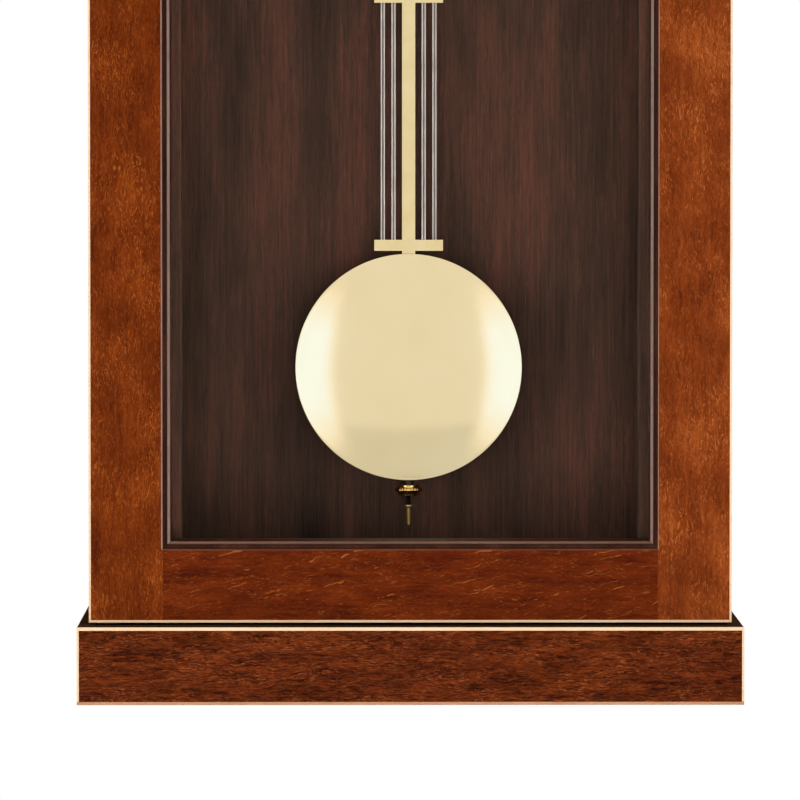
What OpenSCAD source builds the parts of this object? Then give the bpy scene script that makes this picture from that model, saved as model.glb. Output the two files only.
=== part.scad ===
// Pendulum wall clock: a glazed door on a wooden carcase, with plinth and cornice,
// a round dial, an eight-day going train and a lyre pendulum.
// Millimetres. +Z is up, the front faces -Y, and the wall is the plane y = 0.
// The origin is the middle of the hanger's keyhole.

/* [Case] */
// Outer width of the carcase and of the door
case_w = 261; // [255:1:290]
// Depth of the carcase sides
case_d = 105; // [100:1:130]
// Thickness of the carcase sides
side_t = 12; // [9:0.5:14]
// Thickness of the top and bottom boards
board_t = 12; // [9:0.5:15]
// Thickness of the back panel
back_t = 6; // [4:0.5:8]
// How far the back panel lies in the rebate of each side
back_rebate = 6; // [5.5:0.5:8]
// Thickness of the face frame behind the door
jamb_t = 12; // [10:0.5:16]
// How far each jamb shows inside the door's sight opening
jamb_show = 4; // [1:0.5:6]

/* [Plinth and cornice] */
// Height of the plinth and of the cornice
plinth_h = 31.5; // [26:0.5:45]
// How far they stand out past the carcase at each side
plinth_side = 4.5; // [3:0.5:9]
// How far they stand out past the door's face
plinth_front = 12; // [8:0.5:20]
// Thickness of their front and side boards
plinth_t = 8; // [6:0.5:8]
// Thickness of the boards that close them
closing_t = 8; // [6:0.5:11]

/* [Edge lines] */
// Depth of every light edge line into the wood
line_d = 1.2; // [0.8:0.1:2]
// Width of the lines on upright edges
line_side = 0.9; // [0.6:0.1:1.6]
// Width of the lines on the door's top and bottom edges
line_door = 1.1; // [0.8:0.1:2]
// Width of the line on the edge nearest to the carcase
line_inner = 1.4; // [1:0.1:2.5]
// Width of the line on the edge farthest from the carcase
line_outer = 1.3; // [0.8:0.1:2]

/* [Door] */
// Thickness of the door
door_t = 20; // [18:0.5:26]
// Gap above and below the door
door_gap = 1; // [0.8:0.1:2]
// Gap between the door and the carcase
door_back_gap = 1; // [0.8:0.1:2]
// Width of the upright stiles
stile_w = 30; // [24:0.5:34]
// Width of the top and bottom rails
rail_w = 30; // [24:0.5:40]
// Length of the tenon at each end of a rail
tenon_l = 15; // [8:0.5:18]
// Width of the dark bead round the glass
bead_w = 3.3; // [2.5:0.1:5]
// Depth of the bead, from the door's face to the glass
bead_d = 9; // [7:0.5:10]
// Thickness of the glass
glass_t = 3; // [2:0.5:4]
// Depth of the stops behind the glass
stop_d = 5; // [3:0.5:5]
// Distance of the pivot from the door's outer edge and from its back
pivot_inset = 8; // [7.5:0.25:9]
// Radius of the pivot pins
pivot_r = 2; // [1.5:0.1:2.4]
// Depth of the pivot pins in the stile
pivot_depth = 15; // [10:0.5:22]
// Radius of the ball of the knob
knob_r = 4.6; // [3.5:0.1:5.5]
// How far the knob stands out from the door
knob_reach = 11; // [10:0.25:11.75]
// Radius of the catch magnet
magnet_r = 4; // [3:0.25:5]

/* [Dial and hands] */
// Gap between the bezel and each jamb
bezel_gap = 1.2; // [0.8:0.1:4]
// Width of the bezel's moulding
bezel_w = 8; // [6:0.25:10]
// Height of the bezel in front of the dial board
bezel_h = 4.5; // [3.5:0.25:6]
// Thickness of the dial
dial_t = 1; // [0.6:0.1:1.1]
// Thickness of the board behind the dial
dial_board_t = 6; // [5:0.5:8]
// Room between the bezel and the top of the sight opening
dial_head = 8; // [6:0.5:20]
// Length of the minute hand from the centre
minute_len = 72; // [55:1:80]
// Length of the hour hand from the centre
hour_len = 50; // [38:1:58]
// Thickness of the hands
hand_t = 0.8; // [0.5:0.1:1]
// Hour that the hands show
shown_hour = 10; // [0:1:11]
// Minute that the hands show
shown_minute = 10; // [0:1:59]

/* [Going train] */
// Width of the movement plates
plate_w = 100; // [90:1:120]
// Thickness of the movement plates
plate_t = 2; // [1.5:0.25:3]
// Radius of the pillars and of the posts in front of them
pillar_r = 4; // [3:0.25:5]
// Teeth of the great wheel on the barrel
barrel_teeth = 84; // [78:2:90]
// Module of the great wheel
barrel_module = 0.6; // [0.55:0.01:0.65]
// Teeth of the intermediate wheel
mid_teeth = 60; // [56:2:64]
// Module of the intermediate wheel
mid_module = 0.6; // [0.55:0.01:0.65]
// Leaves of the pinions that those two wheels drive
large_leaves = 12; // [10:1:14]
// Teeth of the centre wheel
centre_teeth = 80; // [76:2:84]
// Module of the centre wheel
centre_module = 0.45; // [0.42:0.01:0.48]
// Teeth of the third wheel
third_teeth = 78; // [74:2:82]
// Module of the third wheel
third_module = 0.4; // [0.38:0.01:0.44]
// Leaves of the pinions that those two wheels drive
small_leaves = 8; // [8:1:9]
// Teeth of the escape wheel
escape_teeth = 30; // [24:2:36]
// Radius of the escape wheel over its tips
escape_r = 15; // [13:0.25:15.5]
// Height of the escape wheel's arbor above the centre
escape_rise = 26; // [24:0.5:28]
// Distance of the intermediate arbor to the left of the centre
mid_left = 14; // [10:0.5:18]
// Radius of the mainspring barrel
barrel_r = 22; // [20:0.25:22.5]
// Length of the mainspring barrel
barrel_len = 16; // [14:0.5:18]
// Turns of the mainspring as drawn
spring_turns = 7; // [5:1:9]

/* [Motion work] */
// Length of the posts between the dial board and the front plate
post_len = 11; // [10.5:0.25:14]
// Teeth of the minute wheel
minute_wheel_teeth = 45; // [39:3:45]
// Leaves of the cannon pinion
cannon_leaves = 15; // [13:1:15]
// Module of the motion work
motion_module = 0.6; // [0.55:0.01:0.65]
// Leaves of the minute pinion
minute_leaves = 12; // [12:1:12]
// Teeth of the ratchet wheel
ratchet_teeth = 18; // [14:1:24]
// Radius of the ratchet wheel
ratchet_r = 11; // [9:0.25:12]

/* [Pendulum] */
// Distance from the suspension to the bob's centre
pendulum_l = 376.4; // [360:0.1:400]
// Height of the bob's centre above the bottom of the carcase
bob_rise = 101.5; // [95:0.5:130]
// Distance of the pendulum behind the back plate
pendulum_back = 8; // [7.5:0.25:11]
// Radius of the bob
bob_r = 47.5; // [40:0.5:50]
// Thickness of the bob at its rim
bob_rim = 4; // [3.5:0.25:6]
// Swell of the bob's face past its rim
bob_swell = 2.4; // [2:0.1:7]
// Thickness of the bob's brass cover
bob_skin = 0.8; // [0.5:0.1:1]
// Width of the flat rod
rod_w = 5.5; // [5:0.25:7]
// Thickness of the flat rod
rod_t = 2; // [1.5:0.1:2.2]
// Height of the lower lyre bracket above the bob's centre
lyre_low = 51; // [50.5:0.25:56]
// Distance between the two lyre brackets
lyre_span = 103.5; // [90:0.5:120]
// Width of the lyre brackets
lyre_w = 28.7; // [27:0.1:34]
// Height of the lyre brackets
lyre_h = 4.6; // [4:0.1:6]
// Depth of the lyre brackets
lyre_d = 4; // [3.5:0.1:6]
// Radius of the four lyre rods
lyre_rod_r = 1; // [0.8:0.05:1.2]
// Distance of the inner lyre rods from the middle
lyre_inner = 6.3; // [5.8:0.1:7]
// Distance of the outer lyre rods from the middle
lyre_outer = 10.8; // [10:0.1:11.8]
// Radius of the threaded stud below the rod
stud_r = 1.1; // [0.9:0.05:1.3]
// Length of the stud below the bob
stud_out = 19; // [18:0.5:24]
// Radius of the rating nut
nut_r = 5.9; // [5:0.1:8]

/* [Hanger and screws] */
// Thickness of the hanger plate
hanger_t = 2; // [1.6:0.1:3]
// Radius of the keyhole
keyhole_r = 5; // [4:0.25:5.5]
// Depth of the keyhole below the top of the carcase
hang_drop = 26.5; // [22:0.5:40]
// Radius of the screw heads
head_r = 2.6; // [2:0.1:2.7]
// Radius of the screw shanks
shank_r = 1.4; // [1:0.1:1.6]

/* [Fits] */
// Radial clearance of pivots, pins and shafts that turn
run_fit = 0.05; // [0.03:0.01:0.1]
// Clearance of pieces that are seated
seat_fit = 0.05; // [0.03:0.01:0.1]
// Side clearance of the bob on the rod
bob_fit = 0.15; // [0.1:0.05:0.3]

/* [Hidden] */
$fn = 64;
// how far a cutting shape runs past what it cuts
past = 1;

// across: half-widths from the middle of the case
half_w = case_w / 2;
in_x = half_w - side_t;
opening_x = half_w - stile_w;
sight_x = opening_x - bead_w;
jamb_in = sight_x - jamb_show;
plinth_x = half_w + plinth_side;
catch_x = (opening_x + in_x) / 2;
pivot_x = pivot_inset - half_w;

// depth: from the wall towards the front
y_panel_back = -hanger_t;
y_panel = y_panel_back - back_t;
y_case = -case_d;
y_door_back = y_case - door_back_gap;
y_door = y_door_back - door_t;
y_plinth = y_door - plinth_front;
pivot_y = y_door_back - pivot_inset;
y_glass = y_door + bead_d;
y_board = y_case + jamb_t;
y_board_back = y_board + dial_board_t;
y_dial = y_board - dial_t;

// along the movement: gaps counted back from the front plate
y_front_plate = y_board_back + post_len;
y_inside = y_front_plate + plate_t;
wheel_t = 2;
great_t = 2.5;
escape_t = 1.5;
leaf_past = 1;
leaf_span = wheel_t + 2 * leaf_past;
barrel_gap = 4;
great_gap = 2.5;
back_gap = 3;
third_step = 6;
escape_step = 8;
y_barrel = y_inside + barrel_gap;
y_great = y_barrel + barrel_len;
y_mid_wheel = y_great + great_t + great_gap;
y_back_plate = y_mid_wheel + wheel_t + back_gap;
y_outside = y_back_plate + plate_t;
y_centre_wheel = y_barrel + wheel_t;
y_third_wheel = y_centre_wheel + third_step;
y_escape = y_third_wheel + escape_step;
y_pendulum = y_outside + pendulum_back;

// the dial's radii follow the opening between the jambs
bezel_r = jamb_in - bezel_gap;
bezel_in = bezel_r - bezel_w;
dial_r = bezel_r - bezel_w / 2;
dial_board_margin = 6;
dial_board_half = bezel_r + dial_board_margin;

// arbors as [x, z] from the centre arbor
great_d = (barrel_teeth + large_leaves) * barrel_module / 2;
mid_d = (mid_teeth + large_leaves) * mid_module / 2;
centre_d = (centre_teeth + small_leaves) * centre_module / 2;
third_d = (third_teeth + small_leaves) * third_module / 2;
motion_d = (minute_wheel_teeth + cannon_leaves) * motion_module / 2;
hour_teeth = minute_wheel_teeth + cannon_leaves - minute_leaves;
third_z = (pow(centre_d, 2) - pow(third_d, 2) + pow(escape_rise, 2)) / (2 * escape_rise);
mid_z = -sqrt(pow(mid_d, 2) - pow(mid_left, 2));
barrel_z = mid_z - sqrt(pow(great_d, 2) - pow(mid_left, 2));
suspension_rise = escape_rise + escape_r * sqrt(2);

// heights: the keyhole is at z = 0
case_h = bob_rise + pendulum_l - suspension_rise + bezel_r + dial_head + bead_w + rail_w + door_gap;
z_top = hang_drop;
z_base = z_top - case_h;
z_mid = (z_top + z_base) / 2;
z_foot = z_base - plinth_h;
door_lo = z_base + door_gap;
door_hi = z_top - door_gap;
opening_lo = door_lo + rail_w;
opening_h = door_hi - rail_w - opening_lo;
sight_h = opening_h - 2 * bead_w;
z_bob = z_base + bob_rise;
z_suspension = z_bob + pendulum_l;
z_dial = z_suspension - suspension_rise;
face_rail_h = opening_lo + bead_w - jamb_show - z_base - board_t;

at_centre = [0, z_dial];
at_barrel = [0, z_dial + barrel_z];
at_mid = [-mid_left, z_dial + mid_z];
at_third = [sqrt(pow(centre_d, 2) - pow(third_z, 2)), z_dial + third_z];
at_escape = [0, z_dial + escape_rise];
at_anchor = [0, z_suspension];
at_minute = [-motion_d * cos(45), z_dial + motion_d * sin(45)];

// radii of pivots, arbors and pipes
pivot_small_r = 0.7;
arbor_small_r = 0.95;
arbor_r = 1.5;
arbor_large_r = 3;
pipe_wall = 0.9;
cannon_r = arbor_r + pipe_wall;
hour_pipe_r = cannon_r + pipe_wall;
hub_wall = 1.8;
spring_hub_r = arbor_large_r + hub_wall;
end_shake = 0.2;

// plates and their pillars
plate_edge = 8;
plate_head = 14.8;
plate_hi = z_suspension + plate_head;
plate_lo = at_barrel[1] - great_d;
pillar_x = plate_w / 2 - plate_edge;
pillar_shoulder = 1.6;
pillar_rim = 1;
pillar_end_r = pillar_r - pillar_shoulder;
pillars = [for (x = [-pillar_x, pillar_x], z = [plate_lo + plate_edge, plate_hi - plate_edge]) [x, z]];

// stations in front of the front plate
cannon_gap = 1;
y_cannon = y_front_plate - cannon_gap;
leaf_l = 3.5;
minute_wheel_step = 2.5;
y_minute_wheel = y_cannon - minute_wheel_step;
motion_t = 1.5;
hour_wheel_gap = 2;
minute_leaf_past = 0.5;
y_hour_wheel = y_cannon - leaf_l - motion_t - hour_wheel_gap;
hour_hand_gap = 3;
y_hour_hand = y_dial - hour_hand_gap;
hand_step = 2.6;
y_minute_hand = y_hour_hand - hand_step;
tip_out = 2;
y_arbor_tip = y_minute_hand - tip_out;
ratchet_t = 2.5;
ratchet_gap = 0.5;
y_ratchet = y_front_plate - ratchet_gap - ratchet_t;
ratchet_depth = 1.4;
square_w = 4.6;
eyelet_r = 4.8;
eyelet_wall = 0.8;
eyelet_rim = 1.2;
eyelet_rim_t = 0.6;

// tooth forms: share of the pitch, height and depth in modules
wheel_form = [0.42, 0.85, 1.2];
pinion_form = [0.34, 0.6, 1.5];
tip_share = 0.36;

// click beside the ratchet wheel, from the barrel arbor
click_off = 5;
click_clear = 0.7;
click_pivot = (ratchet_r + click_off) * [cos(35), sin(35)];
click_tip = (ratchet_r + click_clear) * [cos(74), sin(74)];
click_r = 2.5;
click_stud_r = 1.2;

// escapement and crutch
pallet_clear = 1.25;
pallet_l = 4;
pallet_w = 2.2;
anchor_t = 3.5;
anchor_arm_w = 3;
crutch_t = 1;
crutch_w = 3;
crutch_l = 50;
crutch_gap = 0.15;
crutch_back = 0.6;
fork_past = 1.5;
fork_h = 4;

// suspension
chop_w = 4;
chop_d = 6;
chop_h = 5;
spring_free = 12;
spring_t = 0.2;
spring_w = 5;
suspension_pin_r = 1;
slot_room = 0.5;
cheek_past = 1;
cheek_t = 3;
chop_lip = 2;
hook_drop = 1;
rod_seat = 2;
z_chop_up = z_suspension + spring_free / 2;
z_chop_low = z_suspension - spring_free / 2;
z_hook = z_chop_low - chop_h / 2 - hook_drop;
z_rod_top = z_chop_low - rod_seat;

// bob and rating nut
bob_sphere_r = (pow(bob_r, 2) + pow(bob_swell, 2)) / (2 * bob_swell);
y_bob_front = y_pendulum - bob_rim / 2 - bob_swell;
y_bob_back = y_pendulum + bob_rim / 2;
weight_gap = 0.1;
rod_cover = 7.5;
rod_end = bob_r - rod_cover;
rod_room = 4.5;
channel_end = rod_end + rod_room;
nut_gap = 0.1;
z_nut = z_bob - bob_r - nut_gap;
nut_neck_wall = 1.5;
nut_neck_r = stud_r + nut_neck_wall;
nut_neck_h = 1.7;
nut_h = 2.9;
nut_round = 1.2;
nut_collar_wall = 2.1;
nut_collar_r = stud_r + nut_collar_wall;
nut_collar_h = 1.5;
nut_travel = 3.9;
stop_drop = nut_neck_h + nut_h + nut_collar_h + nut_travel;
stop_h = 1.2;
stop_rim = 0.8;
stop_r = stud_r + stop_rim;

// hanger
hanger_w = 56;
hanger_h = 40;
keyhole_slot_r = keyhole_r / 2;
keyhole_rise = 10;
hanger_screw_x = 21;
hanger_screw_z = 14;
keyhole_room = 2;

// screws: the place of the head, the way the shank points and its length
head_h = 1.5;
panel_screw_end = 45;
panel_screw_count = 4;
panel_bite = 10;
panel_screw_step = (case_h - 2 * panel_screw_end) / (panel_screw_count - 1);
panel_screws = [
    for (x = [-1, 1], i = [0 : panel_screw_count - 1])
        [
            [x * (in_x + back_rebate / 2), y_panel_back, z_base + panel_screw_end + panel_screw_step * i],
            "front", back_t + panel_bite
        ]
];
plinth_screw_edge = 28.5;
plinth_screw_front = 21;
plinth_screw_back = 26;
plinth_screw_short = 3;
plinth_screws = [
    for (x = [-1, 1], y = [y_case + plinth_screw_front, -plinth_screw_back])
        [
            [x * (in_x - plinth_screw_edge), y, z_base - closing_t],
            "up", closing_t + board_t - plinth_screw_short
        ]
];
dial_screw_end = 15;
dial_bite = 7;
dial_screws = [
    for (x = [-1, 1], z = [-1, 1])
        [
            [x * (jamb_in + in_x) / 2, y_board_back, z_dial + z * (dial_board_half - dial_screw_end)],
            "front", dial_board_t + dial_bite
        ]
];
post_bite = 5;
movement_screws = [for (p = pillars) [[p[0], y_board, p[1]], "back", dial_board_t + post_bite]];
hanger_screw_short = 1.5;
hanger_screws = [
    for (x = [-1, 1], z = [-1, 1])
        [[x * hanger_screw_x, 0, z * hanger_screw_z], "front", hanger_t + back_t - hanger_screw_short]
];

// colours as seen
stile_wood = "#7d3814";
rail_wood = "#64270d";
dark_wood = "#5f2811";
inner_wood = "#4a3026";
light_wood = "#f2cfa6";
ebony = "#2c180d";
brass = "#d8bd80";
steel = "#b9bcbf";
cream = "#efe6cf";
black = "#1c1a19";

// Box between two opposite corners
module box(lo, hi) {
    translate(lo) cube(hi - lo);
}

// Local z runs back along +Y, local x to the right and local y down
module along_y(at, y) {
    translate([at[0], y, at[1]]) rotate([-90, 0, 0]) children();
}

// Round bar from y0 back to y1
module bar_y(at, y0, y1, r) {
    along_y(at, y0) cylinder(h = y1 - y0, r = r);
}

// Upright round bar on the pendulum's line
module bar_z(x, y, z0, z1, r) {
    translate([x, y, z0]) cylinder(h = z1 - z0, r = r);
}

// A copy below or above the middle of the case
module mirrored_z() {
    translate([0, 0, 2 * z_mid]) mirror([0, 0, 1]) children();
}

module both_sides() {
    children();
    mirror([1, 0, 0]) children();
}

module both_ends() {
    children();
    mirrored_z() children();
}

// Rotation that points a screw's shank the named way
function way(name) = name == "front" ? [90, 0, 0] : name == "back" ? [-90, 0, 0] : [0, 0, 0];

// Countersunk screw, grown by the clearance where it is cut out of a board
module countersunk(sites, grow = 0) {
    for (site = sites)
        translate(site[0]) rotate(way(site[1])) {
            cylinder(h = head_h, r1 = head_r + grow, r2 = shank_r + grow);
            cylinder(h = site[2] + grow, r = shank_r + grow);
        }
}

module screw_bores(sites) {
    countersunk(sites, seat_fit);
}

// Local angle from one arbor to another
function bearing(from, to) = atan2(from[1] - to[1], to[0] - from[0]);

// Radius and angle of the six corners of one tooth
function tooth(n, m, form) =
    let (rp = n * m / 2, half = form[0] * 180 / n, root = rp - form[2] * m, tip = rp + form[1] * m)
    [[root, -half], [rp, -half], [tip, -half * tip_share], [tip, half * tip_share], [rp, half], [root, half]];

function polar(r, a) = [r * cos(a), r * sin(a)];

// Toothed disc with a tooth at the angle phase
module toothed(n, m, form, phase, h) {
    linear_extrude(h)
        polygon([for (i = [0 : n - 1], p = tooth(n, m, form)) polar(p[0], phase + i * 360 / n + p[1])]);
}

// A wheel on its arbor with a tooth towards its mate, and a pinion with a gap towards its mate
module wheel(at, mate, n, m, y, h) {
    along_y(at, y) toothed(n, m, wheel_form, bearing(at, mate), h);
}

module pinion(at, mate, n, m, y, h) {
    along_y(at, y) toothed(n, m, pinion_form, bearing(at, mate) + 180 / n, h);
}

// Arbor between the plates with a pivot in each of them
module arbor(at, r) {
    bar_y(at, y_front_plate, y_outside, pivot_small_r);
    bar_y(at, y_inside + end_shake, y_back_plate - end_shake, r);
}

// Stick of a mitred frame: x along it, y outwards from the opening, z towards the front
module mitred_stick(inner_l, w, d) {
    reach = inner_l / 2 - mitre_gap;
    intersection() {
        rotate([90, 0, 90]) linear_extrude(inner_l + 2 * w, center = true) children();
        translate([0, 0, -d])
            linear_extrude(d)
                polygon([[-reach, 0], [reach, 0], [reach + w, w], [-reach - w, w]]);
    }
}

// Four mitred sticks round an opening in the door, whose front is at y
module mitred_frame(y, inner_w, inner_h, w, d) {
    translate([0, y, z_mid]) rotate([90, 0, 0])
        for (i = [0 : 3]) {
            along = i % 2 == 0 ? inner_w : inner_h;
            across = i % 2 == 0 ? inner_h : inner_w;
            rotate(90 * i) translate([0, across / 2, 0]) mitred_stick(along, w, d) children();
        }
}

// Carcase side with its rebate for the back panel
module case_side() {
    difference() {
        box([-half_w, y_case, z_base], [-in_x, 0, z_top]);
        box([-in_x - back_rebate, y_panel, z_base - past], [-in_x + past, past, z_top + past]);
        screw_bores(panel_screws);
    }
}

module case_left_side() {
    color(rail_wood) case_side();
}

module case_right_side() {
    color(rail_wood) mirror([1, 0, 0]) case_side();
}

// Board that closes the carcase at the bottom
module end_board() {
    difference() {
        box([-in_x, y_case, z_base], [in_x, y_panel, z_base + board_t]);
        screw_bores(plinth_screws);
    }
}

module case_bottom_board() {
    color(inner_wood) end_board();
}

module case_top_board() {
    color(inner_wood) mirrored_z() end_board();
}

module keyhole(r_round, r_slot, y0, y1) {
    bar_y([0, 0], y0, y1, r_round);
    bar_y([0, keyhole_rise], y0, y1, r_slot);
    box([-r_slot, y0, 0], [r_slot, y1, keyhole_rise]);
}

module back_panel() {
    color(inner_wood) difference() {
        box([-in_x - back_rebate, y_panel, z_base], [in_x + back_rebate, y_panel_back, z_top]);
        keyhole(keyhole_r + keyhole_room, keyhole_r + keyhole_room, y_panel - past, y_panel_back + past);
        screw_bores(panel_screws);
        screw_bores(hanger_screws);
    }
}

// Upright of the face frame behind each stile
module jamb() {
    box([jamb_in, y_case, z_base + board_t], [in_x, y_board, z_top - board_t]);
}

module jambs() {
    color(dark_wood) difference() {
        both_sides() jamb();
        bar_y([catch_x, z_mid], y_case - past, y_case + magnet_l + seat_fit, magnet_r + seat_fit);
        screw_bores(dial_screws);
    }
}

module face_frame_rails() {
    color(dark_wood) both_ends()
        box([-jamb_in, y_case, z_base + board_t], [jamb_in, y_board, z_base + board_t + face_rail_h]);
}

// Light lines round the front of the plinth, run out past its faces where they are cut from the boards
module plinth_lines(out = 0) {
    edge_x = plinth_x + out;
    edge_y = y_plinth - out;
    box([-edge_x, edge_y, z_base - line_inner], [edge_x, y_plinth + line_d, z_base + out]);
    box([-edge_x, edge_y, z_foot - out], [edge_x, y_plinth + line_d, z_foot + line_outer]);
    both_sides()
        box([-edge_x, edge_y, z_foot - out], [line_side - plinth_x, y_plinth + line_d, z_base + out]);
}

// Board of the plinth, cut to its outline in plan
module plinth_board(outline) {
    difference() {
        translate([0, 0, z_foot]) linear_extrude(plinth_h) polygon(outline);
        plinth_lines(past);
    }
}

module front_board() {
    plinth_board([
        [-plinth_x, y_plinth], [plinth_x, y_plinth],
        [plinth_x - plinth_t, y_plinth + plinth_t], [plinth_t - plinth_x, y_plinth + plinth_t]
    ]);
}

module side_boards() {
    both_sides() plinth_board([
        [-plinth_x, y_plinth], [plinth_t - plinth_x, y_plinth + plinth_t],
        [plinth_t - plinth_x, 0], [-plinth_x, 0]
    ]);
}

// Board that lies against the carcase, with the seat of the door's bush
module closing_board() {
    difference() {
        box([plinth_t - plinth_x, y_plinth + plinth_t, z_base - closing_t], [plinth_x - plinth_t, 0, z_base]);
        bar_z(pivot_x, pivot_y, z_base - closing_t - past, z_base + past, bush_r + seat_fit);
        screw_bores(plinth_screws);
    }
}

module plinth_front_board() {
    color(dark_wood) front_board();
}

module plinth_side_boards() {
    color(dark_wood) side_boards();
}

module plinth_top_board() {
    color(dark_wood) closing_board();
}

module cornice_front_board() {
    color(dark_wood) mirrored_z() front_board();
}

module cornice_side_boards() {
    color(dark_wood) mirrored_z() side_boards();
}

module cornice_boards() {
    color(dark_wood) mirrored_z() {
        closing_board();
        box([plinth_t - plinth_x, y_plinth + plinth_t, z_foot], [plinth_x - plinth_t, 0, z_foot + closing_t]);
    }
}

module edge_lines() {
    color(light_wood) both_ends() plinth_lines();
}

module screws() {
    color(steel) {
        countersunk(panel_screws);
        countersunk(dial_screws);
        countersunk(movement_screws);
        countersunk(hanger_screws);
        both_ends() countersunk(plinth_screws);
    }
}

module hanger_plate() {
    color(steel) difference() {
        box([-hanger_w / 2, y_panel_back, -hanger_h / 2], [hanger_w / 2, 0, hanger_h / 2]);
        keyhole(keyhole_r, keyhole_slot_r, y_panel_back - past, past);
        screw_bores(hanger_screws);
    }
}

bush_wall = 1.5;
bush_r = pivot_r + bush_wall;
flange_w = 1.5;
flange_gap = 0.3;
flange_t = door_gap - flange_gap;

module pivot_bushes() {
    color(brass) both_ends() difference() {
        union() {
            bar_z(pivot_x, pivot_y, z_base - closing_t, z_base + flange_t, bush_r);
            bar_z(pivot_x, pivot_y, z_base, z_base + flange_t, bush_r + flange_w);
        }
        bar_z(pivot_x, pivot_y, z_base - closing_t - past, z_base + door_gap, pivot_r + run_fit);
    }
}

catch_gap = 0.2;
magnet_l = 8;

module catch_magnet() {
    color(black) bar_y([catch_x, z_mid], y_door_back + catch_gap, y_case + magnet_l, magnet_r);
}

// Light lines round the face of the door, run out past its faces where they are cut from the wood
module door_lines(out = 0) {
    edge_x = half_w + out;
    y_line = y_door + line_d;
    both_sides() box([-edge_x, y_door - out, door_lo - out], [line_side - half_w, y_line, door_hi + out]);
    both_ends() box([-edge_x, y_door - out, door_lo - out], [edge_x, y_line, door_lo + line_door]);
}

tenon_t = 7;
tenon_shoulder = 4;
y_tenon = y_door + door_t / 2 - tenon_t / 2;

// Tenon at one end of a rail, grown by the clearance where it is cut out of a stile
module tenon(grow = 0) {
    box(
        [-opening_x - tenon_l - grow, y_tenon - grow, door_lo + tenon_shoulder - grow],
        [-opening_x, y_tenon + tenon_t + grow, opening_lo - tenon_shoulder + grow]
    );
}

module pivot_hole() {
    bar_z(pivot_x, pivot_y, door_lo - past, door_lo + pivot_depth + seat_fit, pivot_r + seat_fit);
}

// Hinge stile: its back corner is round about the pivots, so that it turns clear of the carcase
module door_hinge_stile() {
    color(stile_wood) difference() {
        union() {
            difference() {
                box([-half_w, y_door, door_lo], [-opening_x, y_door_back, door_hi]);
                box([-half_w - past, pivot_y, door_lo - past], [pivot_x, y_door_back + past, door_hi + past]);
            }
            bar_z(pivot_x, pivot_y, door_lo, door_hi, pivot_inset);
        }
        door_lines(past);
        both_ends() tenon(seat_fit);
        both_ends() pivot_hole();
    }
}

at_knob = [half_w - stile_w / 2, z_mid];
knob_stem_r = 2;
knob_stem_l = 12;
knob_rose = 1.4;
knob_rose_t = 0.7;
knob_rose_h = 1.3;
knob_step = 0.8;
knob_neck_r = 3;
knob_neck_z = 1.7;
strike_t = 0.8;
strike_rim = 1;
strike_r = magnet_r + strike_rim;

module door_latch_stile() {
    color(stile_wood) difference() {
        box([opening_x, y_door, door_lo], [half_w, y_door_back, door_hi]);
        door_lines(past);
        both_ends() mirror([1, 0, 0]) tenon(seat_fit);
        bar_y(at_knob, y_door - past, y_door + knob_stem_l + seat_fit, knob_stem_r + seat_fit);
        bar_y([catch_x, z_mid], y_door_back - strike_t, y_door_back + past, strike_r + seat_fit);
    }
}

module door_rails() {
    color(rail_wood) both_ends() difference() {
        union() {
            box([-opening_x, y_door, door_lo], [opening_x, y_door_back, opening_lo]);
            both_sides() tenon();
        }
        door_lines(past);
    }
}

module door_edge_lines() {
    color(light_wood) door_lines();
}

mitre_gap = 0.03;
bead_set = 0.6;
bead_fillet = 0.9;
bead_quirk = 0.8;
bead_nose = 4;

// Bead section: a flat fillet at the wood, a quirk, and a round nose down to the glass
module bead_section() {
    nose_w = bead_w - bead_fillet;
    polygon(concat(
        [[0, -bead_d], [bead_w, -bead_d], [bead_w, -bead_set], [nose_w, -bead_set]],
        [for (a = [0 : 15 : 90])
            [nose_w * (1 - sin(a)), -bead_set - bead_quirk - bead_nose * (1 - cos(a))]]
    ));
}

module glazing_beads() {
    color(ebony) mitred_frame(y_door, 2 * sight_x, sight_h, bead_w, bead_d) bead_section();
}

glass_room = 0.5;

module door_glass() {
    color("#dfe8e6", 0.3)
        translate([0, 0, z_mid])
            box(
                [glass_room - opening_x, y_glass, glass_room - opening_h / 2],
                [opening_x - glass_room, y_glass + glass_t, opening_h / 2 - glass_room]
            );
}

module glass_stops() {
    color(dark_wood) mitred_frame(y_glass + glass_t, 2 * sight_x, sight_h, bead_w, stop_d)
        translate([0, -stop_d]) square([bead_w, stop_d]);
}

module door_pivot_pins() {
    color(steel) both_ends()
        bar_z(pivot_x, pivot_y, z_base - closing_t + past, door_lo + pivot_depth, pivot_r);
}

// Turned knob: rosette, neck and ball, with a stem in the stile
module door_knob() {
    ball_z = knob_reach - knob_r;
    rose_r = knob_r + knob_rose;
    color(brass) translate([at_knob[0], y_door, at_knob[1]]) rotate([90, 0, 0]) {
        rotate_extrude() polygon(concat(
            [[0, 0], [rose_r, 0], [rose_r, knob_rose_t], [rose_r - knob_step, knob_rose_h]],
            [[knob_neck_r, knob_neck_z]],
            [for (a = [-55 : 12 : 89]) [knob_r * cos(a), ball_z + knob_r * sin(a)]],
            [[0, knob_reach]]
        ));
        translate([0, 0, -knob_stem_l]) cylinder(h = knob_stem_l, r = knob_stem_r);
    }
}

module strike_plate() {
    color(steel) bar_y([catch_x, z_mid], y_door_back - strike_t, y_door_back, strike_r);
}

module dial_board() {
    color(dark_wood) difference() {
        box(
            [seat_fit - in_x, y_board, z_dial - dial_board_half],
            [in_x - seat_fit, y_board_back, z_dial + dial_board_half]
        );
        bar_y(at_centre, y_board - past, y_board_back + past, hour_pipe_r + hand_hole);
        bar_y(at_barrel, y_board - past, y_board_back + past, eyelet_r + seat_fit);
        screw_bores(dial_screws);
        screw_bores(movement_screws);
    }
}

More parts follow.
